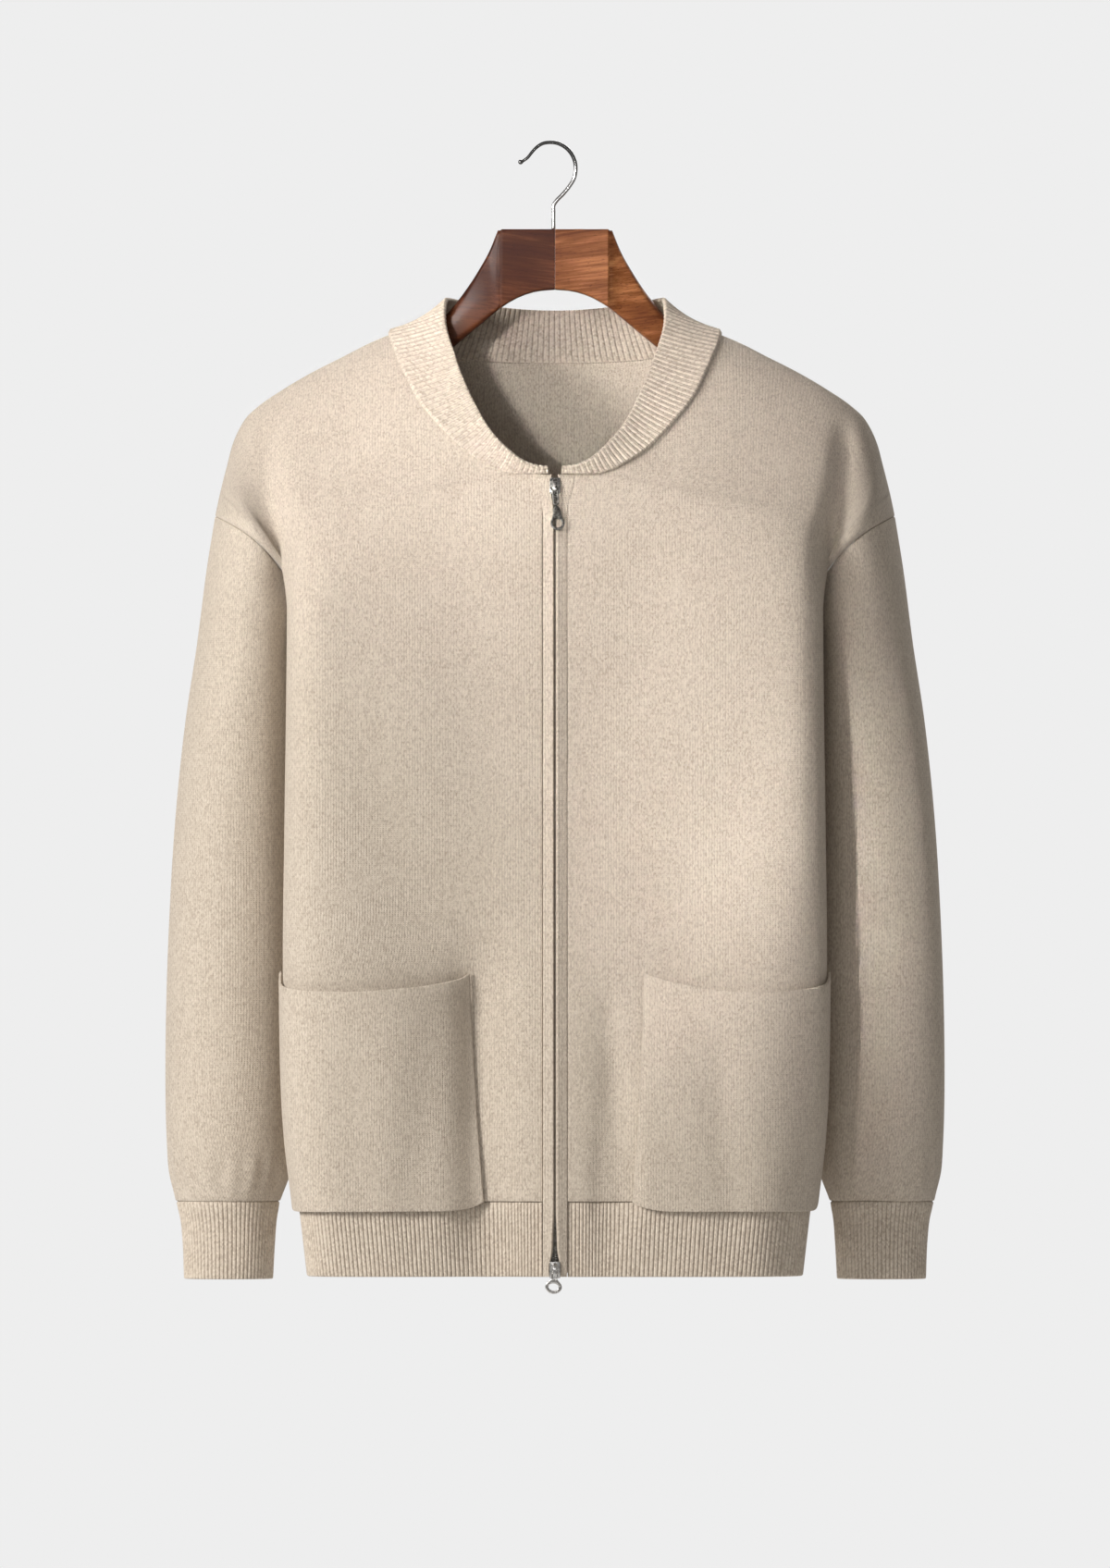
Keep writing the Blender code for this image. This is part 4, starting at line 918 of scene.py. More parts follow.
def panel_sheet(face, side, shares, levels):
    """One half of the front or back, whose edges lie square to their seams."""
    yoke_rows = np.s_[np.searchsorted(levels, 0.0) + 1:, -1]
    rims = [(yoke_rows, (ARM_SLOPE * side, 0, -1)), (FIRST_ROW, (0, 0, 1)),
            (LAST_ROW, (0, 1, 0))]
    middle = ZIP_SEAM_RADIUS if face > 0 else 0.0
    inner = np.where(levels > NECK_CORNER[face], NECK_SEAM_RADIUS, middle)[:, None]
    return Sheet(lambda a, b: panel(a, b, face, side), shares, levels, side * face, CLOTH,
                 rims=rims, round_u=(inner, EDGE_RADIUS))


def make_fronts(material):
    """The two fronts, from the zip's bands to the side seams and armholes."""
    levels = panel_levels()
    shares = panel_shares(True)
    for side, name in SIDES:
        sheet = panel_sheet(1, side, shares, levels)
        uv = stitch_map(sheet.points, np.abs(sheet.points[:, 0, 0]))
        mesh = merged(f"knit_front_{name}", [sheet.mesh(uv)])
        piece(mesh, material, f"front_{name}")


def make_back(material):
    """One panel across the back, whose two shoulders part at the neck seam."""
    levels = panel_levels()
    corner = int(np.searchsorted(levels, NECK_CORNER[-1]))
    levels[corner] = NECK_CORNER[-1]
    shares = panel_shares(False)
    parting = corner / (len(levels) - 1) - 0.5
    halves = []
    for side in (1, -1):
        sheet = panel_sheet(-1, side, shares, levels)
        sheet.outer[:corner + 1, 0, 0] = 0.0
        sheet.inner[:corner + 1, 0, 0] = 0.0
        uv = stitch_map(sheet.points, np.abs(sheet.points[:, 0, 0]))
        uv[..., 0] *= side
        halves.append(sheet.mesh(uv, opened=lambda spot: spot.x < 0 and spot.y < parting))
    piece(merged("knit_back", halves), material, "back")


SLEEVE_COLUMNS = 104
SLEEVE_FIRST_DROP = 40          # about the way from the sleeve's first row to its second
SLEEVE_LAST_DROP = 26           # and to its last row
GATHERS = 17                    # soft gathers round a sleeve just over its cuff
GATHER_ROW = 8.15               # where they are deepest, in rows of SLEEVE
GATHER_REACH = 0.55


def sleeve_rows():
    """Rows of the sleeve, evenly spaced down its length."""
    fine = np.linspace(0, SLEEVE_ROWS[-1], 400)
    line = sleeve(np.full(400, math.pi / 2), fine)
    along = Path.lengths(line)
    shares = even_steps(along[-1])
    rows = np.interp(shares * along[-1], along, fine)
    rows[0] = SEAM_GAP / 2 / SLEEVE_FIRST_DROP
    rows[-1] -= SEAM_GAP / 2 / SLEEVE_LAST_DROP
    return rows


def gathers(turn, row):
    """Height of the gathers: many small folds over a few broad ones, both uneven."""
    small = 0.7 * np.sin(GATHERS * turn + 0.8 * np.sin(3 * turn))
    broad = 0.5 * np.sin(7 * turn + 1.3)
    return np.exp(-((row - GATHER_ROW) / GATHER_REACH)**2) * (small + broad)


def make_sleeves(material):
    """Two tubes from the armholes to the cuffs, closed along the underarm."""
    rows = sleeve_rows()
    turns = np.linspace(-math.pi, math.pi, SLEEVE_COLUMNS + 1)
    raised = gathers(*np.meshgrid(turns, rows))
    middle = SLEEVE_COLUMNS // 2
    for side, name in SIDES:
        rims = [(FIRST_ROW, (ARM_SLOPE * side, 0, -1)), (LAST_ROW, (0, 0, 1))]
        sheet = Sheet(lambda a, b: sleeve_point(a, b, side), turns, rows, side, CLOTH,
                      rims=rims, raised=raised, behind=raised, round_u=(0.0, 0.0))
        across = run_lengths(sheet.points, 1)
        down = run_lengths(sheet.points, 0)
        uv = np.stack([across - across[:, middle:middle + 1], down[-1:] - down], axis=-1)
        mesh = merged(f"knit_sleeve_{name}", [sheet.mesh(uv, closed=True)])
        piece(mesh, material, f"sleeve_{name}")


# ---------------------------------------------------------------- ribs

RIB_SAMPLES = 8                 # columns of points in one rib
RIB_ROW_STEP = 5.0              # distance between the rows of points
CUFF_RIBS = 68
NECK_RIBS = 160
NECK_ROW_STEP = 3.0
HEM_MIDDLE = -800.0             # height at which the hem's ribs are counted
RIB_FADE = 1.6                  # how far from a seam the ribs have their full height
NECK_TONGUE = 1.6               # how far the neck rib's seam edge lies inside the panels
TONGUE_FACES = (0.9, 1.7)       # depth of the tongue's two faces under the panels' face


def rib_height(phase):
    """Height of a rib from 0 in the hollow to 1 on its crown, over a phase from 0 to 1."""
    across = np.abs(2 * np.mod(phase, 1.0) - 1)
    return (1 - across**2.4)**0.75


def rib_sheet(surface, ribs, us, vs, flip, drawn_in=0.0, small=(1e-3, 1e-3), rims=(),
              ends=EDGE_RADIUS, seam_level=0.1, seam_radius=EDGE_RADIUS):
    """Ribbed wall: the inner face has its ribs where the outer face has its hollows.

    seam_level is the height at which the ribs begin at the seam, from 0, hollow, to 1, crown.
    """
    phase = np.broadcast_to(np.linspace(0, ribs, len(us)), (len(vs), len(us)))
    roundness = {"round_u": (ends, ends), "round_v": (seam_radius, EDGE_RADIUS)}
    sheet = Sheet(surface, us, vs, flip, RIB_CLOTH + RIB_RAISE, small, rims, **roundness)
    up = run_lengths(sheet.points, 0)
    fade = step(up / RIB_FADE)
    front = RIB_RAISE * (rib_height(phase) * fade + seam_level * (1 - fade) - 1) - drawn_in
    back = RIB_RAISE * (1 - rib_height(phase + 0.5)) - drawn_in
    sheet = Sheet(surface, us, vs, flip, RIB_CLOTH + RIB_RAISE, small, rims, front, back,
                  **roundness)
    uv = np.stack([phase * RIB_PITCH / MM, up], axis=-1)
    return sheet, uv


def make_cuffs(material):
    """Two rib tubes that narrow from the sleeves' ends."""
    turns = np.linspace(-math.pi, math.pi, CUFF_RIBS * RIB_SAMPLES + 1)
    height = CUFF_TOP - CUFF_BOTTOM
    heights = CUFF_TOP - SEAM_GAP / 2 - even_steps(height, RIB_ROW_STEP) * height
    for side, name in SIDES:
        sheet, uv = rib_sheet(lambda a, b: cuff_point(a, b, side), CUFF_RIBS, turns, heights,
                              -side, rims=LEVEL_RIMS, ends=0.0)
        mesh = merged(f"rib_cuff_{name}", [sheet.mesh(uv, closed=True)])
        piece(mesh, material, f"cuff_{name}")


def make_hem(material):
    """Rib band in three lengths, with seams at the sides."""
    height = HEM_TOP - HEM_BOTTOM
    heights = HEM_TOP - SEAM_GAP / 2 - even_steps(height, RIB_ROW_STEP) * (height - SEAM_GAP / 2)
    edge = SEAM_GAP / 2 / FRONT_ROUND
    jobs = [("front_left", lambda a, b: hem_front_point(a, b, 1), 1, edge),
            ("front_right", lambda a, b: hem_front_point(a, b, -1), -1, edge),
            ("back", hem_back_point, -1, edge - 1)]
    for name, surface, flip, start in jobs:
        across = np.linspace(start, 1 - edge, 400)
        length = Path.lengths(surface(across, np.full(400, HEM_MIDDLE)))[-1]
        ribs = round(length / (RIB_PITCH / MM))
        shares = np.linspace(start, 1 - edge, ribs * RIB_SAMPLES + 1)
        sheet, uv = rib_sheet(surface, ribs, shares, heights, flip, HEM_DRAWN_IN, (1e-3, 0.5),
                              LEVEL_RIMS)
        piece(merged(f"rib_hem_{name}", [sheet.mesh(uv)]), material, f"hem_{name}")


def make_neck(material):
    """Neck rib, with a tongue along its seam edge that lies inside the panels."""
    seam, edge = mirrored_path(neck_seam_half()), mirrored_path(NECK_EDGE)
    start = SEAM_GAP / 2 / seam.length
    shares = np.linspace(start, 1 - start, NECK_RIBS * RIB_SAMPLES + 1)
    across = even_steps(NECK_BAND_WIDTH, NECK_ROW_STEP)

    def surface(share, rise):
        return band_between(seam, edge, share, rise, NECK_ROLL)

    sheet, uv = rib_sheet(surface, NECK_RIBS, shares, across, 1, small=(1e-3, 1e-2),
                          seam_level=0.55, seam_radius=NECK_SEAM_RADIUS)
    tongue = surface(sheet.u[:1], np.full((1, len(shares)), -NECK_TONGUE / NECK_BAND_WIDTH))
    inward = unit(sheet.inner[:1] - sheet.outer[:1])
    sheet.outer = np.vstack([tongue + inward * TONGUE_FACES[0], sheet.outer])
    sheet.inner = np.vstack([tongue + inward * TONGUE_FACES[1], sheet.inner])
    sheet.u = np.vstack([sheet.u[:1], sheet.u])
    uv = np.vstack([uv[:1] - (0, NECK_TONGUE), uv])
    piece(merged("rib_neck_band", [sheet.mesh(uv)]), material, "neck_band")


# ---------------------------------------------------------------- pockets


def make_pockets(material):
    """Patches that stand just off the fronts and swell a little above their middles."""
    across, up = (even_steps(size, POCKET_STEP) for size in POCKET_SIZE)
    a, b = np.meshgrid(across, up)
    swell = a**0.8 * (1 - a)**2 * SWELL_TOP
    fullness = POCKET_FULLNESS * swell * np.sin(b * math.pi / 2)**2
    stand = POCKET_STAND + fullness + POCKET_OVER_HEM * (1 - b)**3
    for side, name in SIDES:
        sheet = Sheet(lambda u, v: pocket_point(u, v, side), across, up, side, POCKET_WALL,
                      raised=stand + POCKET_WALL, behind=stand + POCKET_WALL)
        start = np.abs(sheet.points[:, 0, 0])
        mesh = merged(f"knit_pocket_{name}", [sheet.mesh(stitch_map(sheet.points, start))])
        piece(mesh, material, f"pocket_{name}")


# ---------------------------------------------------------------- zip

BAND_TOP = -243.6
BAND_PROUD = 2.8                # how far the band's inner edge stands before the panels
BAND_FLUSH = 0.05               # and how far its outer edge does
BAND_SLOPE = 1.15               # exponent of its fall from one to the other
BAND_WALL = 3.0
BAND_WIDTH = 7.0
BAND_STEP = 0.9                 # distance between a band's columns of points
BAND_START = 1.3                # from the zip's middle to the band's inner edge
BAND_FLARE = 5.5                # how much wider the bands are at the neck seam
FLARE_START, FLARE_RISE = -274.0, 30.0
FLARE_LIFT = 0.5                # how much more the flared edge stands before the panels
BAND_PARTED = 0.9               # how far a band draws aside at the hem
PARTED_START, PARTED_DROP = -780.0, 25.0
UPPER_SLIDER = -252.4           # height of the slider's middle
LOWER_SLIDER = -825.5
SLIDER_ROOM = 3.6               # half width that the bands leave beside a slider
ROOM_REACH = 9.0                # how far above and below the slider they begin to leave it
PRESS_REACH = 11.0              # how far from the slider the bands begin to lie flatter
PRESS_SHARE = 0.55              # and the share of their stand that they lose there
CHAIN_TOP = -249.0
CHAIN_BOTTOM = -823.5
TOOTH_PITCH = 1.7
TOOTH_SIZE = (2.3, 2.1, 0.78)
TOOTH_CENTRE = 0.95             # from the zip's middle to a tooth's middle
TOOTH_DEPTH = 0.7               # from the centre front in to a tooth's middle
TOOTH_EDGE = 0.14
TAPE_FRONT = 2.6                # from the centre front in to the tape
TAPE_START = 0.3
TAPE_WIDTH = 7.6
TAPE_WALL = 0.7
TAPE_ENDS = (2.0, 3.0)          # how far the tape goes on past the chain, above and below


def near_slider(height, reach):
    """1 at the middle of a slider, fading away over about two reaches from it."""
    upper, lower = (np.exp(-((height - middle) / reach)**2)
                    for middle in (UPPER_SLIDER, LOWER_SLIDER))
    return np.maximum(upper, lower)


def band_point(share, height, side):
    """A band's face: it steps aside for the sliders, parts at the hem and widens at the neck."""
    parted = BAND_PARTED * step((PARTED_START - height) / PARTED_DROP)
    room = (SLIDER_ROOM - BAND_START) * near_slider(height, ROOM_REACH)
    inner = BAND_START + room + parted
    flare = step((height - FLARE_START) / FLARE_RISE)
    outer = ZIP_BAND_EDGE - SEAM_GAP / 2 + BAND_FLARE * flare
    x = inner + (outer - inner) * share
    proud = BAND_PROUD * (1 - PRESS_SHARE * near_slider(height, PRESS_REACH))
    flush = BAND_FLUSH + FLARE_LIFT * flare
    slope = np.clip(1 - share, 0, None)**BAND_SLOPE
    y = front_line(height) - flush - (proud - flush) * slope
    return xyz(side * x, y, height)


def make_zip_bands(material):
    """Narrow plain strips that cover the tapes along both sides of the zip."""
    length = BAND_TOP - HEM_BOTTOM
    heights = BAND_TOP - even_steps(length) * length
    shares = even_steps(BAND_WIDTH, BAND_STEP)
    for side, name in SIDES:
        sheet = Sheet(lambda a, b: band_point(a, b, side), shares, heights, side, BAND_WALL,
                      small=(1e-3, 0.5), round_u=(0.8, ZIP_SEAM_RADIUS))
        across = run_lengths(sheet.points, 1)
        uv = np.stack([across, sheet.v - HEM_BOTTOM], axis=-1)
        mesh = merged(f"knit_zip_band_{name}", [sheet.mesh(uv)])
        piece(mesh, material, f"zip_band_{name}")


def make_tapes(material):
    """Flat tapes behind the bands, which carry the teeth."""
    heights = np.linspace(CHAIN_TOP + TAPE_ENDS[0], CHAIN_BOTTOM - TAPE_ENDS[1], 120)
    shares = np.linspace(0, 1, 9)
    for side, name in SIDES:
        def surface(share, height):
            across = side * (TAPE_START + TAPE_WIDTH * share)
            return xyz(across, front_line(height) + TAPE_FRONT, height)

        sheet = Sheet(surface, shares, heights, side, TAPE_WALL, small=(1e-3, 0.5),
                      round_u=(0.0, 0.0), round_v=(0.0, 0.0))
        uv = np.stack([sheet.u * TAPE_WIDTH, sheet.v - HEM_BOTTOM], axis=-1)
        mesh = merged(f"zip_tape_{name}", [sheet.mesh(uv)])
        piece(mesh, material, f"zip_side_{name}")


def make_teeth(material):
    """Two rows of cast teeth that mesh along the middle of the zip."""
    count = int((CHAIN_TOP - CHAIN_BOTTOM) / TOOTH_PITCH)
    for side, name in SIDES:
        bm = bmesh.new()
        for index in range(count):
            height = CHAIN_TOP - (index + (0.5 if side > 0 else 0.0)) * TOOTH_PITCH
            depth = float(front_line(height)) + TOOTH_DEPTH
            centre = Vector((side * TOOTH_CENTRE, depth, height)) * MM
            place = Matrix.Translation(centre) @ Matrix.Rotation(front_lean(height, 2), 4, "X")
            size = Matrix.Diagonal((*(Vector(TOOTH_SIZE) * MM), 1.0))
            bmesh.ops.create_cube(bm, size=1.0, matrix=place @ size)
        bmesh.ops.bevel(bm, geom=bm.edges[:], offset=TOOTH_EDGE * MM, segments=1, profile=0.5,
                        affect="EDGES", material=-1)
        mesh = mesh_from(bm, f"zip_teeth_{name}")
        mesh.shade_smooth()
        piece(mesh, material)


# ---------------------------------------------------------------- zip sliders and pulls

SLIDER_HALF_WIDTH = 3.9
SLIDER_HALF_HEIGHT = 6.1
PLATE_FRONT = -2.3              # depths are from the centre front
PLATE_BACK = -1.1
REAR_FRONT = 4.1
REAR_BACK = 5.1
WEDGE = 3.4                     # length of the wedge that joins a slider's plates
WEDGE_HALF_WIDTH = 0.9
PLATE_EDGES = (0.45, 0.4, 0.3)  # roundness of the front plate, the rear one and the wedge
WEDGE_SUNK = 0.3                # how far the wedge's faces lie inside what it joins
CROWN_DEPTH = 2.6
CROWN_HALF_WIDTH = 1.5
CROWN_HALF_THICKNESS = 0.45
CROWN_LINE = ((-5.2, 0.2), (-4.4, -2.4), (-3.0, -3.0), (-1.0, -3.1), (1.0, -3.0), (2.8, -2.2),
              (4.4, 0.2))       # up from the slider's middle, then out from its front plate
BAR_DROP = -1.9                 # the pull's cross bar below the slider's middle
# Each pull hangs from the bar: its eye's centre, its eye's and rim's half width and height, where
# its neck ends and how wide that is, the loop it hangs by, and how far it leans aside, in radians.
PULLS = {"upper": {"middle": UPPER_SLIDER, "eye_drop": 27.0, "eye": (3.3, 3.4),
                   "edge": (5.2, 5.3), "neck": 13.4, "neck_half": 2.9, "link": 12.6,
                   "link_half": 1.75, "skew": -0.07},
         "lower": {"middle": LOWER_SLIDER, "eye_drop": 10.6, "eye": (3.7, 2.6),
                   "edge": (6.1, 5.0), "neck": 4.6, "neck_half": 2.4, "link": 5.0,
                   "link_half": 1.7, "skew": 0.1}}
PULL_HALF = 0.6                 # half thickness of a pull
PULL_POINTS = 72                # round a pull's rim
PULL_TAPER = 1.35               # how much wider than its rim a pull's neck may be
LINK_WIRE = 0.62                # radius of the loop that joins a pull to its slider
LINK_SQUARENESS = 0.45
DEPTHWISE = np.array((0, 1.0, 0))


def tube(points, closed_rows=False):
    """Closed surface through rings of points, one ring in each row."""
    if closed_rows:
        points = np.concatenate([points, points[:1]])
    else:
        caps = [np.broadcast_to(row.mean(axis=0), row.shape)[None] for row in points[[0, -1]]]
        points = np.concatenate([caps[0], points, caps[1]])
    points = np.concatenate([points, points[:, :1]], axis=1) * MM
    rows, columns = points.shape[:2]
    bm = bmesh.new()
    bmesh.ops.create_grid(bm, x_segments=columns - 1, y_segments=rows - 1, size=0.5)
    for vert in bm.verts:
        column = round((vert.co.x + 0.5) * (columns - 1))
        row = round((vert.co.y + 0.5) * (rows - 1))
        vert.co = points[row, column]
    bmesh.ops.remove_doubles(bm, verts=bm.verts, dist=0.001 * MM)
    bmesh.ops.recalc_face_normals(bm, faces=bm.faces)
    return mesh_from(bm, "tube")


def wire_rings(centre, way, radius, count):
    """Rings round a wire whose line lies in the plane of the front."""
    side = np.cross(unit(way), DEPTHWISE)[:, None]
    turns = np.linspace(0, 2 * math.pi, count, endpoint=False)[None, :, None]
    radius = np.broadcast_to(radius, len(centre))[:, None, None]
    return centre[:, None] + radius * (np.cos(turns) * side + np.sin(turns) * DEPTHWISE)


def rounded(count, squareness):
    """Points of a rounded square of half size 1: two columns of numbers."""
    turns = np.linspace(0, 2 * math.pi, count, endpoint=False)
    wide, high = np.cos(turns), np.sin(turns)
    return (np.sign(wide) * np.abs(wide)**squareness, np.sign(high) * np.abs(high)**squareness)


def moulded_box(low, high, edge):
    """Box between two corners, with rounded edges."""
    low, high = Vector(low) * MM, Vector(high) * MM
    bm = bmesh.new()
    size = Matrix.Diagonal((*(high - low), 1.0))
    bmesh.ops.create_cube(bm, size=1.0, matrix=Matrix.Translation((low + high) / 2) @ size)
    bmesh.ops.bevel(bm, geom=bm.edges[:], offset=edge * MM, segments=3, profile=0.5,
                    affect="EDGES", material=-1)
    return mesh_from(bm, "box")


def slider_place(middle):
    """Place and lean of a slider on the centre front."""
    lean = Matrix.Rotation(front_lean(middle, 5), 4, "X")
    return Matrix.Translation((0, float(front_line(middle)) * MM, middle * MM)) @ lean, lean


def make_slider(name, middle, up, material):
    """Two plates with rounded edges, the wedge between them, and a flat arched crown."""
    end, wide = SLIDER_HALF_HEIGHT, SLIDER_HALF_WIDTH
    half, sunk = WEDGE_HALF_WIDTH, WEDGE_SUNK
    low, high = sorted((up * (end - sunk), up * (end - WEDGE)))
    front, rear, joint = PLATE_EDGES
    parts = [moulded_box((-wide, PLATE_FRONT, -end), (wide, PLATE_BACK, end), front),
             moulded_box((-wide, REAR_FRONT, -end), (wide, REAR_BACK, end), rear),
             moulded_box((-half, PLATE_BACK - sunk, low), (half, REAR_FRONT + sunk, high), joint)]
    line = Path([(0, PLATE_FRONT + out, high) for high, out in CROWN_LINE])
    centre = line(np.linspace(0, 1, 25))
    outward = np.cross(unit(np.gradient(centre, axis=0)), (1.0, 0, 0))
    wide_share, high_share = rounded(16, 0.6)
    rings = (centre[:, None] + wide_share[:, None] * (CROWN_HALF_WIDTH, 0, 0)
             + high_share[None, :, None] * outward[:, None] * CROWN_HALF_THICKNESS)
    parts.append(tube(rings))
    mesh = merged(name, parts, 0.0)
    mesh.transform(slider_place(middle)[0])
    piece(mesh, material, name)


def pull_plate(size):
    """Rings of a pull's flat plate: a round eye whose rim draws up into a narrow neck."""
    turns = np.linspace(0, 2 * math.pi, PULL_POINTS, endpoint=False)
    inner, rim = (np.stack([wide * np.sin(turns), -high * np.cos(turns)], axis=-1)
                  for wide, high in (size["eye"], size["edge"]))
    reach = step(1.0 - np.abs(turns - math.pi))[:, None]
    neck = np.clip(rim[:, 0] * PULL_TAPER, -size["neck_half"], size["neck_half"])
    top = np.stack([neck, np.full(PULL_POINTS, size["eye_drop"] - size["neck"])], axis=-1)
    outer = rim * (1 - reach) + top * reach
    across, through = rounded(18, 0.55)
    flat = ((outer + inner) / 2)[:, None] + across[None, :, None] * ((outer - inner) / 2)[:, None]
    return xyz(flat[..., 0], through * PULL_HALF, flat[..., 1] - size["eye_drop"])


def pull_link(size):
    """Rings of the small loop that joins a pull to its slider's crown."""
    across, up = rounded(40, LINK_SQUARENESS)
    loop = xyz(size["link_half"] * across, 0, size["link"] / 2 * (up - 1))
    way = np.roll(loop, -1, axis=0) - np.roll(loop, 1, axis=0)
    return wire_rings(loop, way, LINK_WIRE, 10)


def make_pull(which, material):
    """Cast pull with a round eye, hung from the slider's crown."""
    size = PULLS[which]
    parts = [tube(pull_plate(size), True), tube(pull_link(size), True)]
    mesh = merged(f"zip_pull_{which}", parts, 0.0)
    place, lean = slider_place(size["middle"])
    hang = Matrix.Rotation(size["skew"], 4, "Y")
    axis = place @ Vector((0, (PLATE_FRONT - CROWN_DEPTH / 2) * MM, BAR_DROP * MM))
    mesh.transform(Matrix.Translation(axis) @ lean @ hang)
    piece(mesh, material, f"pull_{which}", f"{which}_pull")


# ---------------------------------------------------------------- hanger

ARM = table("across top bottom half_depth centre corner", [
    (0.15, -62.6, -106.8, 14.0, 0.0, 1.6),
    (14.0, -62.6, -108.2, 14.0, 0.0, 1.6),
    (28.0, -62.6, -113.0, 14.0, 0.0, 1.6),
    (39.0, -62.6, -119.6, 14.0, 0.0, 1.6),
    (42.0, -63.4, -121.8, 12.2, 1.4, 3.2),
    (47.5, -77.0, -126.4, 11.4, 2.8, 4.0),
    (56.0, -92.5, -133.6, 11.0, 4.0, 5.0),
    (69.0, -111.8, -144.4, 10.6, 5.2, 6.6),
    (80.0, -125.0, -153.2, 10.0, 5.8, 7.5),
    (100.0, -136.6, -165.8, 8.6, 6.0, 7.5),
    (120.0, -144.2, -175.0, 8.4, 6.0, 7.5),
])
ARM_BLOCK_ROWS = 4              # stations of the square block at the middle
ARM_SEAT = 1.2                  # clear height between the arm's ridge and the cloth on it
ARM_SEATED = np.linspace(128.0, 200.0, 8)      # stations that carry the shoulder
SHOULDER_PITCH = math.radians(30)
ARM_HEIGHT = 32.0
ARM_HALF_DEPTH = 8.0
ARM_ROUND = 7.5
ARM_BACK = 0.9                  # the arm lies this far behind the shoulder seam
ARM_CURVED = 42.0               # from here out the arm is one smooth curve
BLOCK_STATIONS = (0.02, 0.3, 0.7, 4, 10, 16, 22, 28, 34, 38.6, 38.9)
CURVED_STATIONS = np.concatenate([[40.3, 40.8], np.linspace(ARM_CURVED, 200, 90),
                                  np.linspace(201.5, 212, 10)])
# The tip's stations: across, top and bottom from the shoulder's end, then as in ARM.
ARM_END = ((208.0, -15.0, -37.0, 7.5, 5.0, 6.0), (212.0, -22.0, -33.0, 4.5, 6.0, 3.0))
JOINT_GROOVE = 0.22             # how far the wood is eased at the glued joint

HOOK_WIRE = 2.9                 # thickness of the hook's wire
HOOK_ROUTE = table("x z", [     # its middle line, from the tip over the top to the wood
    (-27.0, -13.4), (-25.0, -12.9), (-20.6, -10.2), (-16.6, -5.4), (-13.5, -2.2),
    (-9.2, 0.5), (-3.5, 1.45), (2.2, 0.7), (7.0, -1.7), (11.3, -5.8),
    (14.1, -11.0), (15.1, -15.4), (15.1, -19.8), (14.1, -24.7), (10.8, -30.5),
    (6.1, -36.3), (0.7, -42.0), (-0.9, -44.6), (-1.1, -50.0), (-1.1, -62.3),
])
HOOK_SIZES = table("distance size", [    # thickness along it, as a share of the wire's
    (0.0, 0.20), (0.2, 0.60), (0.6, 0.98), (1.2, 1.20), (1.8, 1.25),
    (2.4, 1.18), (3.0, 0.92), (3.5, 0.74), (14.0, 0.78), (40.0, 1.00),
])
HOOK_BALL_ROWS = 8              # the first stations are the ball tip's own
HOOK_REST = 4.4                 # distance along the wire from which stations are even


def arm_rows():
    """Stations of an arm: its own, then those under the shoulder seam, then the tip."""
    rows = np.stack(list(ARM.values()), axis=-1)
    seats = SHOULDER_LINE(np.linspace(0, 1, 400))
    depth, height = (np.interp(ARM_SEATED, seats[:, 0], seats[:, axis]) for axis in (1, 2))
    top = height - CLOTH / math.cos(SHOULDER_PITCH) - ARM_SEAT
    even = np.ones(len(ARM_SEATED))
    seated = np.stack([ARM_SEATED, top, top - ARM_HEIGHT, even * ARM_HALF_DEPTH,
                       depth + ARM_BACK, even * ARM_ROUND], axis=-1)
    ends = [(x, height[-1] + high, height[-1] + low, *rest) for x, high, low, *rest in ARM_END]
    return np.vstack([rows, seated, ends])


def arm_sizes():
    """Distance across at each station, then the arm's sizes there."""
    rows = arm_rows()
    sizes = []
    for column in rows.T[1:]:
        curve = smooth(np.maximum(CURVED_STATIONS, ARM_CURVED), rows[ARM_BLOCK_ROWS:, 0],
                       column[ARM_BLOCK_ROWS:])
        sizes.append(np.concatenate([np.interp(BLOCK_STATIONS, rows[:, 0], column), curve]))
    top, bottom, half_depth, *rest = sizes
    x = np.concatenate([BLOCK_STATIONS, CURVED_STATIONS])
    block = x < ARM_CURVED
    bottom[block] = smooth(x[block], rows[:, 0], rows[:, 2])
    half_depth[0] -= JOINT_GROOVE
    top[0] -= JOINT_GROOVE
    bottom[0] += JOINT_GROOVE
    return [size[:, None] for size in (x, top, bottom, half_depth, *rest)]


def make_hanger(woods):
    """Two shaped wooden arms, glued at the middle."""
    x, top, bottom, half_depth, centre, corner = arm_sizes()
    quarter = np.linspace(0, math.pi / 2, 8)
    turns = np.concatenate([quarter + turn * math.pi / 2 for turn in range(4)])
    way_y, way_z = (np.repeat(ways, 8) for ways in ((1, -1, -1, 1), (1, 1, -1, -1)))
    y = centre + way_y * (half_depth - corner) + corner * np.cos(turns)
    z = (top + bottom) / 2 + way_z * ((top - bottom) / 2 - corner) + corner * np.sin(turns)
    for (side, name), wood in zip(SIDES, woods):
        mesh = merged(f"hanger_arm_{name}", [tube(xyz(side * x, y, z))], 0.0)
        piece(mesh, wood, f"hanger_{name}")


def make_hook(steel):
    """Round wire, thinner towards its ball tip."""
    line = Path(xyz(HOOK_ROUTE["x"], 0, HOOK_ROUTE["z"]), 1200)
    distances = HOOK_SIZES["distance"]
    stations = np.concatenate([distances[:HOOK_BALL_ROWS],
                               np.linspace(HOOK_REST, line.length, 110)])
    sizes = np.interp(stations, distances, HOOK_SIZES["size"]) * HOOK_WIRE / 2
    shares = stations / line.length
    way = line(shares + SHORT_WAY) - line(shares - SHORT_WAY)
    rings = wire_rings(line(shares), way, sizes, 20)
    piece(merged("hanger_hook_wire", [tube(rings)], 0.0), steel, "hanger_hook")


# ---------------------------------------------------------------- stage, light and camera

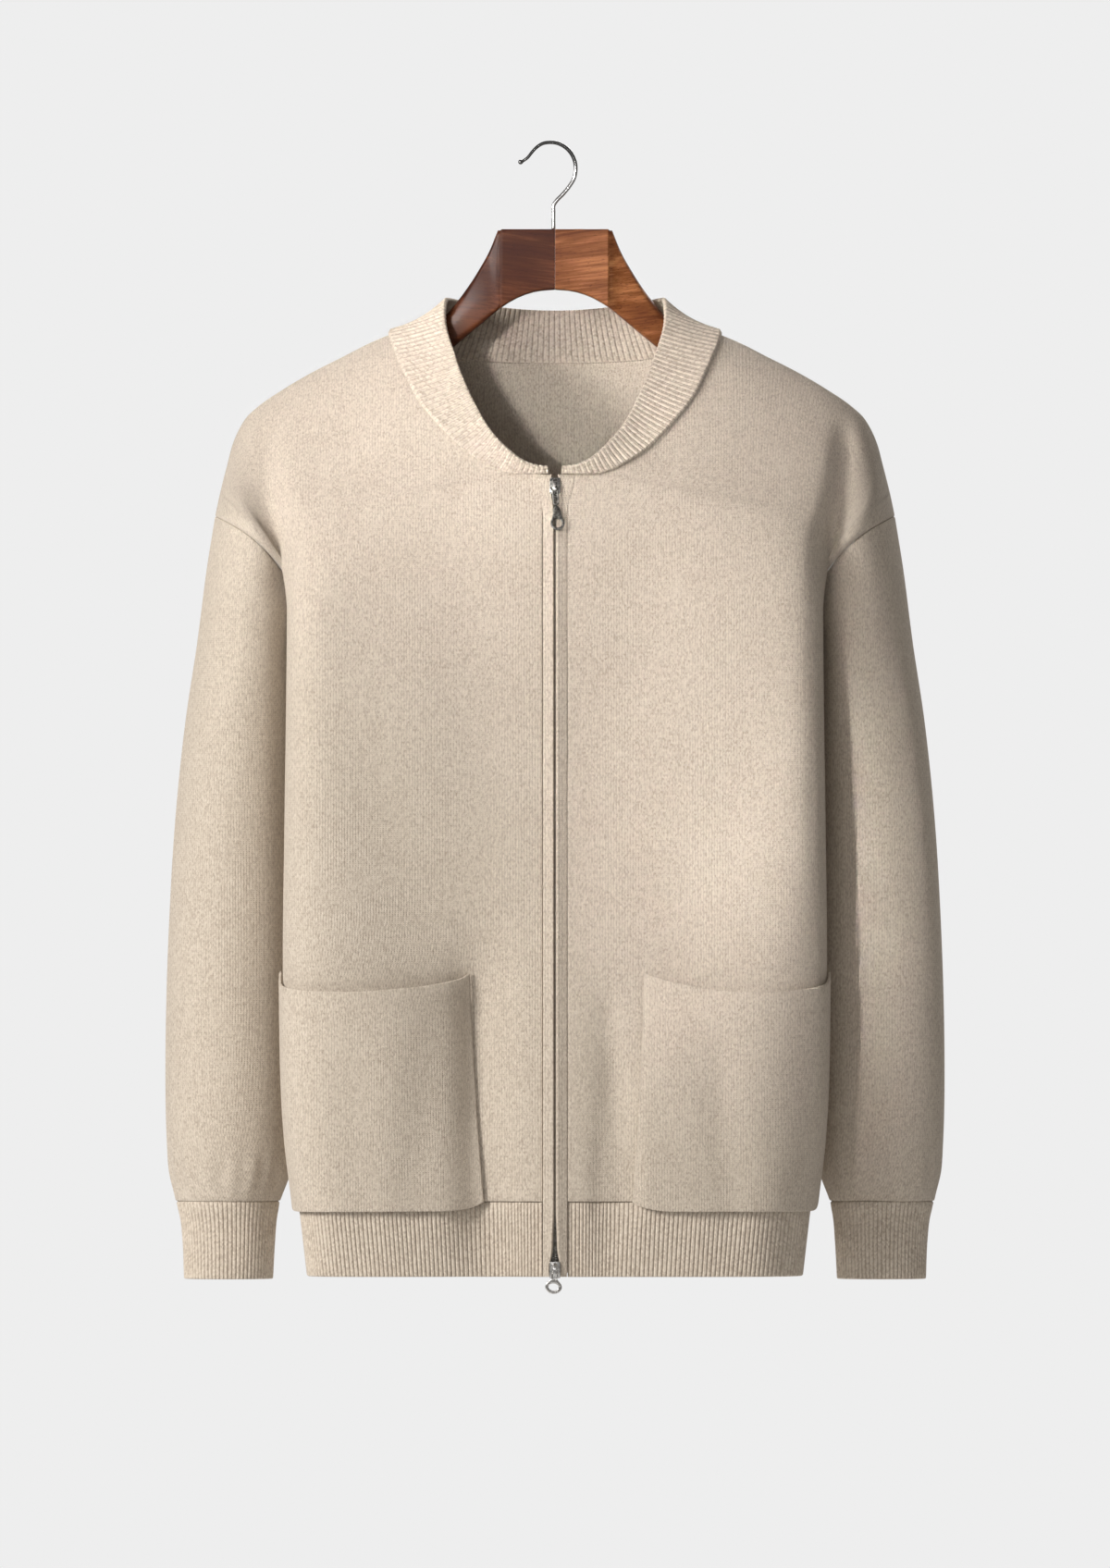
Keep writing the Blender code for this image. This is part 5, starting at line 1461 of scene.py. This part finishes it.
# Sizes and places here are in metres.
CAMERA_DISTANCE = 20.0
CAMERA_HEIGHT = -0.4702
FRAME_HEIGHT = 1.1526           # height of the picture at the garment
CLIP_END = 100.0
BACKDROP = 0.855
FILL = 0.24
FILL_COLOUR = (1.0, 0.96, 0.92)
FLOOR_RADIUS = 1.4
FLOOR_HEIGHT = -1.32
BODY_AIM = (0.0, 0.0, CAMERA_HEIGHT)
NECK_AIM = (0.0, 0.05, -0.17)
SLEEVE_AIM = (0.26, 0.0, -0.52)
WARM = (1.0, 0.975, 0.945)
SOFT = (1.0, 0.98, 0.96)

# Name, azimuth, elevation, distance, aim, size, power, colour and spread in degrees.
LIGHTS = (
    ("key_light", -50, 18, 3.0, BODY_AIM, 1.0, 91, WARM, 180),
    ("front_light", -8, 8, 3.6, BODY_AIM, 1.5, 13, SOFT, 180),
    ("back_light", 165, 30, 3.4, BODY_AIM, 2.0, 60, SOFT, 180),
    ("neck_light", -17, 12, 3.0, NECK_AIM, 0.4, 0.25, SOFT, 8),
    ("sleeve_light", -24, 2, 3.2, SLEEVE_AIM, 0.3, 0.17, SOFT, 6),
)


def around(azimuth, elevation, distance):
    """Place at an azimuth from the front, an elevation and a distance from the garment."""
    a, e = math.radians(azimuth), math.radians(elevation)
    return (distance * math.sin(a) * math.cos(e), -distance * math.cos(a) * math.cos(e),
            CAMERA_HEIGHT + distance * math.sin(e))


def make_lights():
    """The studio's round lamps, each turned to what it lights."""
    for name, azimuth, elevation, distance, aim, size, power, colour, spread in LIGHTS:
        data = bpy.data.lights.new(name, "AREA")
        data.shape = "DISK"
        data.spread = math.radians(spread)
        data.size = size
        data.energy = power
        data.color = colour
        lamp = placed(data)
        lamp.location = around(azimuth, elevation, distance)
        way = Vector(aim) - lamp.location
        lamp.rotation_euler = way.to_track_quat("-Z", "Y").to_euler()


def make_world():
    """Flat pale backdrop for the camera, and a dimmer even light for the cloth."""
    world = bpy.data.worlds.new("studio")
    bpy.context.scene.world = world
    world.use_nodes = True
    tree = world.node_tree
    seen = tree.nodes["Background"]
    seen.inputs["Color"].default_value = (BACKDROP, BACKDROP, BACKDROP, 1.0)
    fill = tree.nodes.new("ShaderNodeBackground")
    fill.inputs["Color"].default_value = (*FILL_COLOUR, 1.0)
    fill.inputs["Strength"].default_value = FILL
    path = tree.nodes.new("ShaderNodeLightPath")
    join = tree.nodes.new("ShaderNodeMixShader")
    tree.links.new(path.outputs["Is Camera Ray"], join.inputs["Fac"])
    tree.links.new(fill.outputs[0], join.inputs[1])
    tree.links.new(seen.outputs[0], join.inputs[2])
    tree.links.new(join.outputs[0], tree.nodes["World Output"].inputs["Surface"])


def make_floor():
    """Round floor some way below the hem."""
    bm = bmesh.new()
    bmesh.ops.create_circle(bm, cap_ends=True, segments=96, radius=FLOOR_RADIUS)
    bmesh.ops.translate(bm, verts=bm.verts, vec=(0, 0, FLOOR_HEIGHT))
    mesh = mesh_from(bm, "floor")
    mesh.materials.append(pale_floor("pale_floor"))
    placed(mesh)


def make_camera():
    """Long lens straight at the front, level with the garment's middle."""
    data = bpy.data.cameras.new("camera")
    data.lens = data.sensor_width * CAMERA_DISTANCE / FRAME_HEIGHT
    data.clip_end = CLIP_END
    camera = placed(data)
    camera.location = (0, -CAMERA_DISTANCE, CAMERA_HEIGHT)
    camera.rotation_euler = (math.pi / 2, 0, 0)
    bpy.context.scene.camera = camera


# ---------------------------------------------------------------- the whole garment

# Cut of the cloth that shows, in metres: flat width, length and area, then what holds it.
CUTS = {
    "knit_front": (0.312, 0.689, 0.172, "hanger_arm"),
    "knit_back": (0.641, 0.705, 0.285, "hanger_arm"),
    "knit_sleeve": (0.384, 0.507, 0.153, "knit_back"),
    "rib_cuff": (0.240, 0.062, None, "knit_sleeve"),
    "rib_hem_front": (0.272, 0.060, None, "knit_front"),
    "rib_hem_back": (0.401, 0.060, None, "knit_back"),
    "rib_neck_band": (0.490, 0.053, None, "knit_back"),
    "knit_pocket_left": (0.183, 0.167, None, "knit_front"),
    "knit_pocket_right": (0.203, 0.168, None, "knit_front"),
    "knit_zip_band": (0.016, 0.587, 0.0062, "knit_front"),
    "zip_tape": (0.014, 0.579, 0.0048, "knit_zip_band"),
}


def declare_sheets():
    """Go over each cut and the meshes whose names begin with it; nothing is stated for them."""
    shown = [made for made in bpy.data.objects if made.type == "MESH"]
    for stem, (width, length, area, holder) in CUTS.items():
        for cloth in shown:
            if not cloth.name.startswith(stem):
                continue


def make_hardware():
    """Sliders, pulls, hook and arms, each in its own metal or wood."""
    gunmetal = worn_metal("gunmetal_cast", (0.30, 0.29, 0.27), (0.06, 0.056, 0.05), 0.34)
    crown = worn_metal("worn_gunmetal", (0.52, 0.51, 0.49), (0.16, 0.155, 0.15), 0.30)
    nickel = worn_metal("nickel_cast", (0.80, 0.79, 0.77), (0.50, 0.49, 0.48), 0.22)
    make_slider("slider_upper", UPPER_SLIDER, 1, crown)
    make_slider("slider_lower", LOWER_SLIDER, -1, nickel)
    make_pull("upper", gunmetal)
    make_pull("lower", nickel)
    golden = varnished_wood("golden_beech", (0.40, 0.165, 0.062), (0.185, 0.060, 0.019),
                            (0.075, 0.020, 0.007), 0.12)
    dark = varnished_wood("dark_beech", (0.13, 0.040, 0.016), (0.055, 0.0135, 0.0048),
                          (0.032, 0.007, 0.003), -0.12)
    make_hanger((golden, dark))
    make_hook(bright_steel("bright_steel"))


def main():
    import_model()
    bpy.context.scene.view_settings.view_transform = "Standard"
    plain = knit("heather_knit", WALE, COURSE, 0.42 * MM)
    rib = knit("heather_rib", RIB_PITCH, COURSE * 1.05, 0.30 * MM, 0.97, 0.75)
    make_fronts(plain)
    make_back(plain)
    make_sleeves(plain)
    make_cuffs(rib)
    make_hem(rib)
    make_neck(rib)
    make_pockets(plain)
    make_zip_bands(plain)
    make_tapes(tape_weave("dark_tape", (0.16, 0.145, 0.13)))
    make_teeth(worn_metal("cast_teeth", (0.36, 0.35, 0.33), (0.12, 0.11, 0.10), 0.35))
    make_hardware()
    declare_sheets()
    make_world()
    make_floor()
    make_lights()
    make_camera()


main()
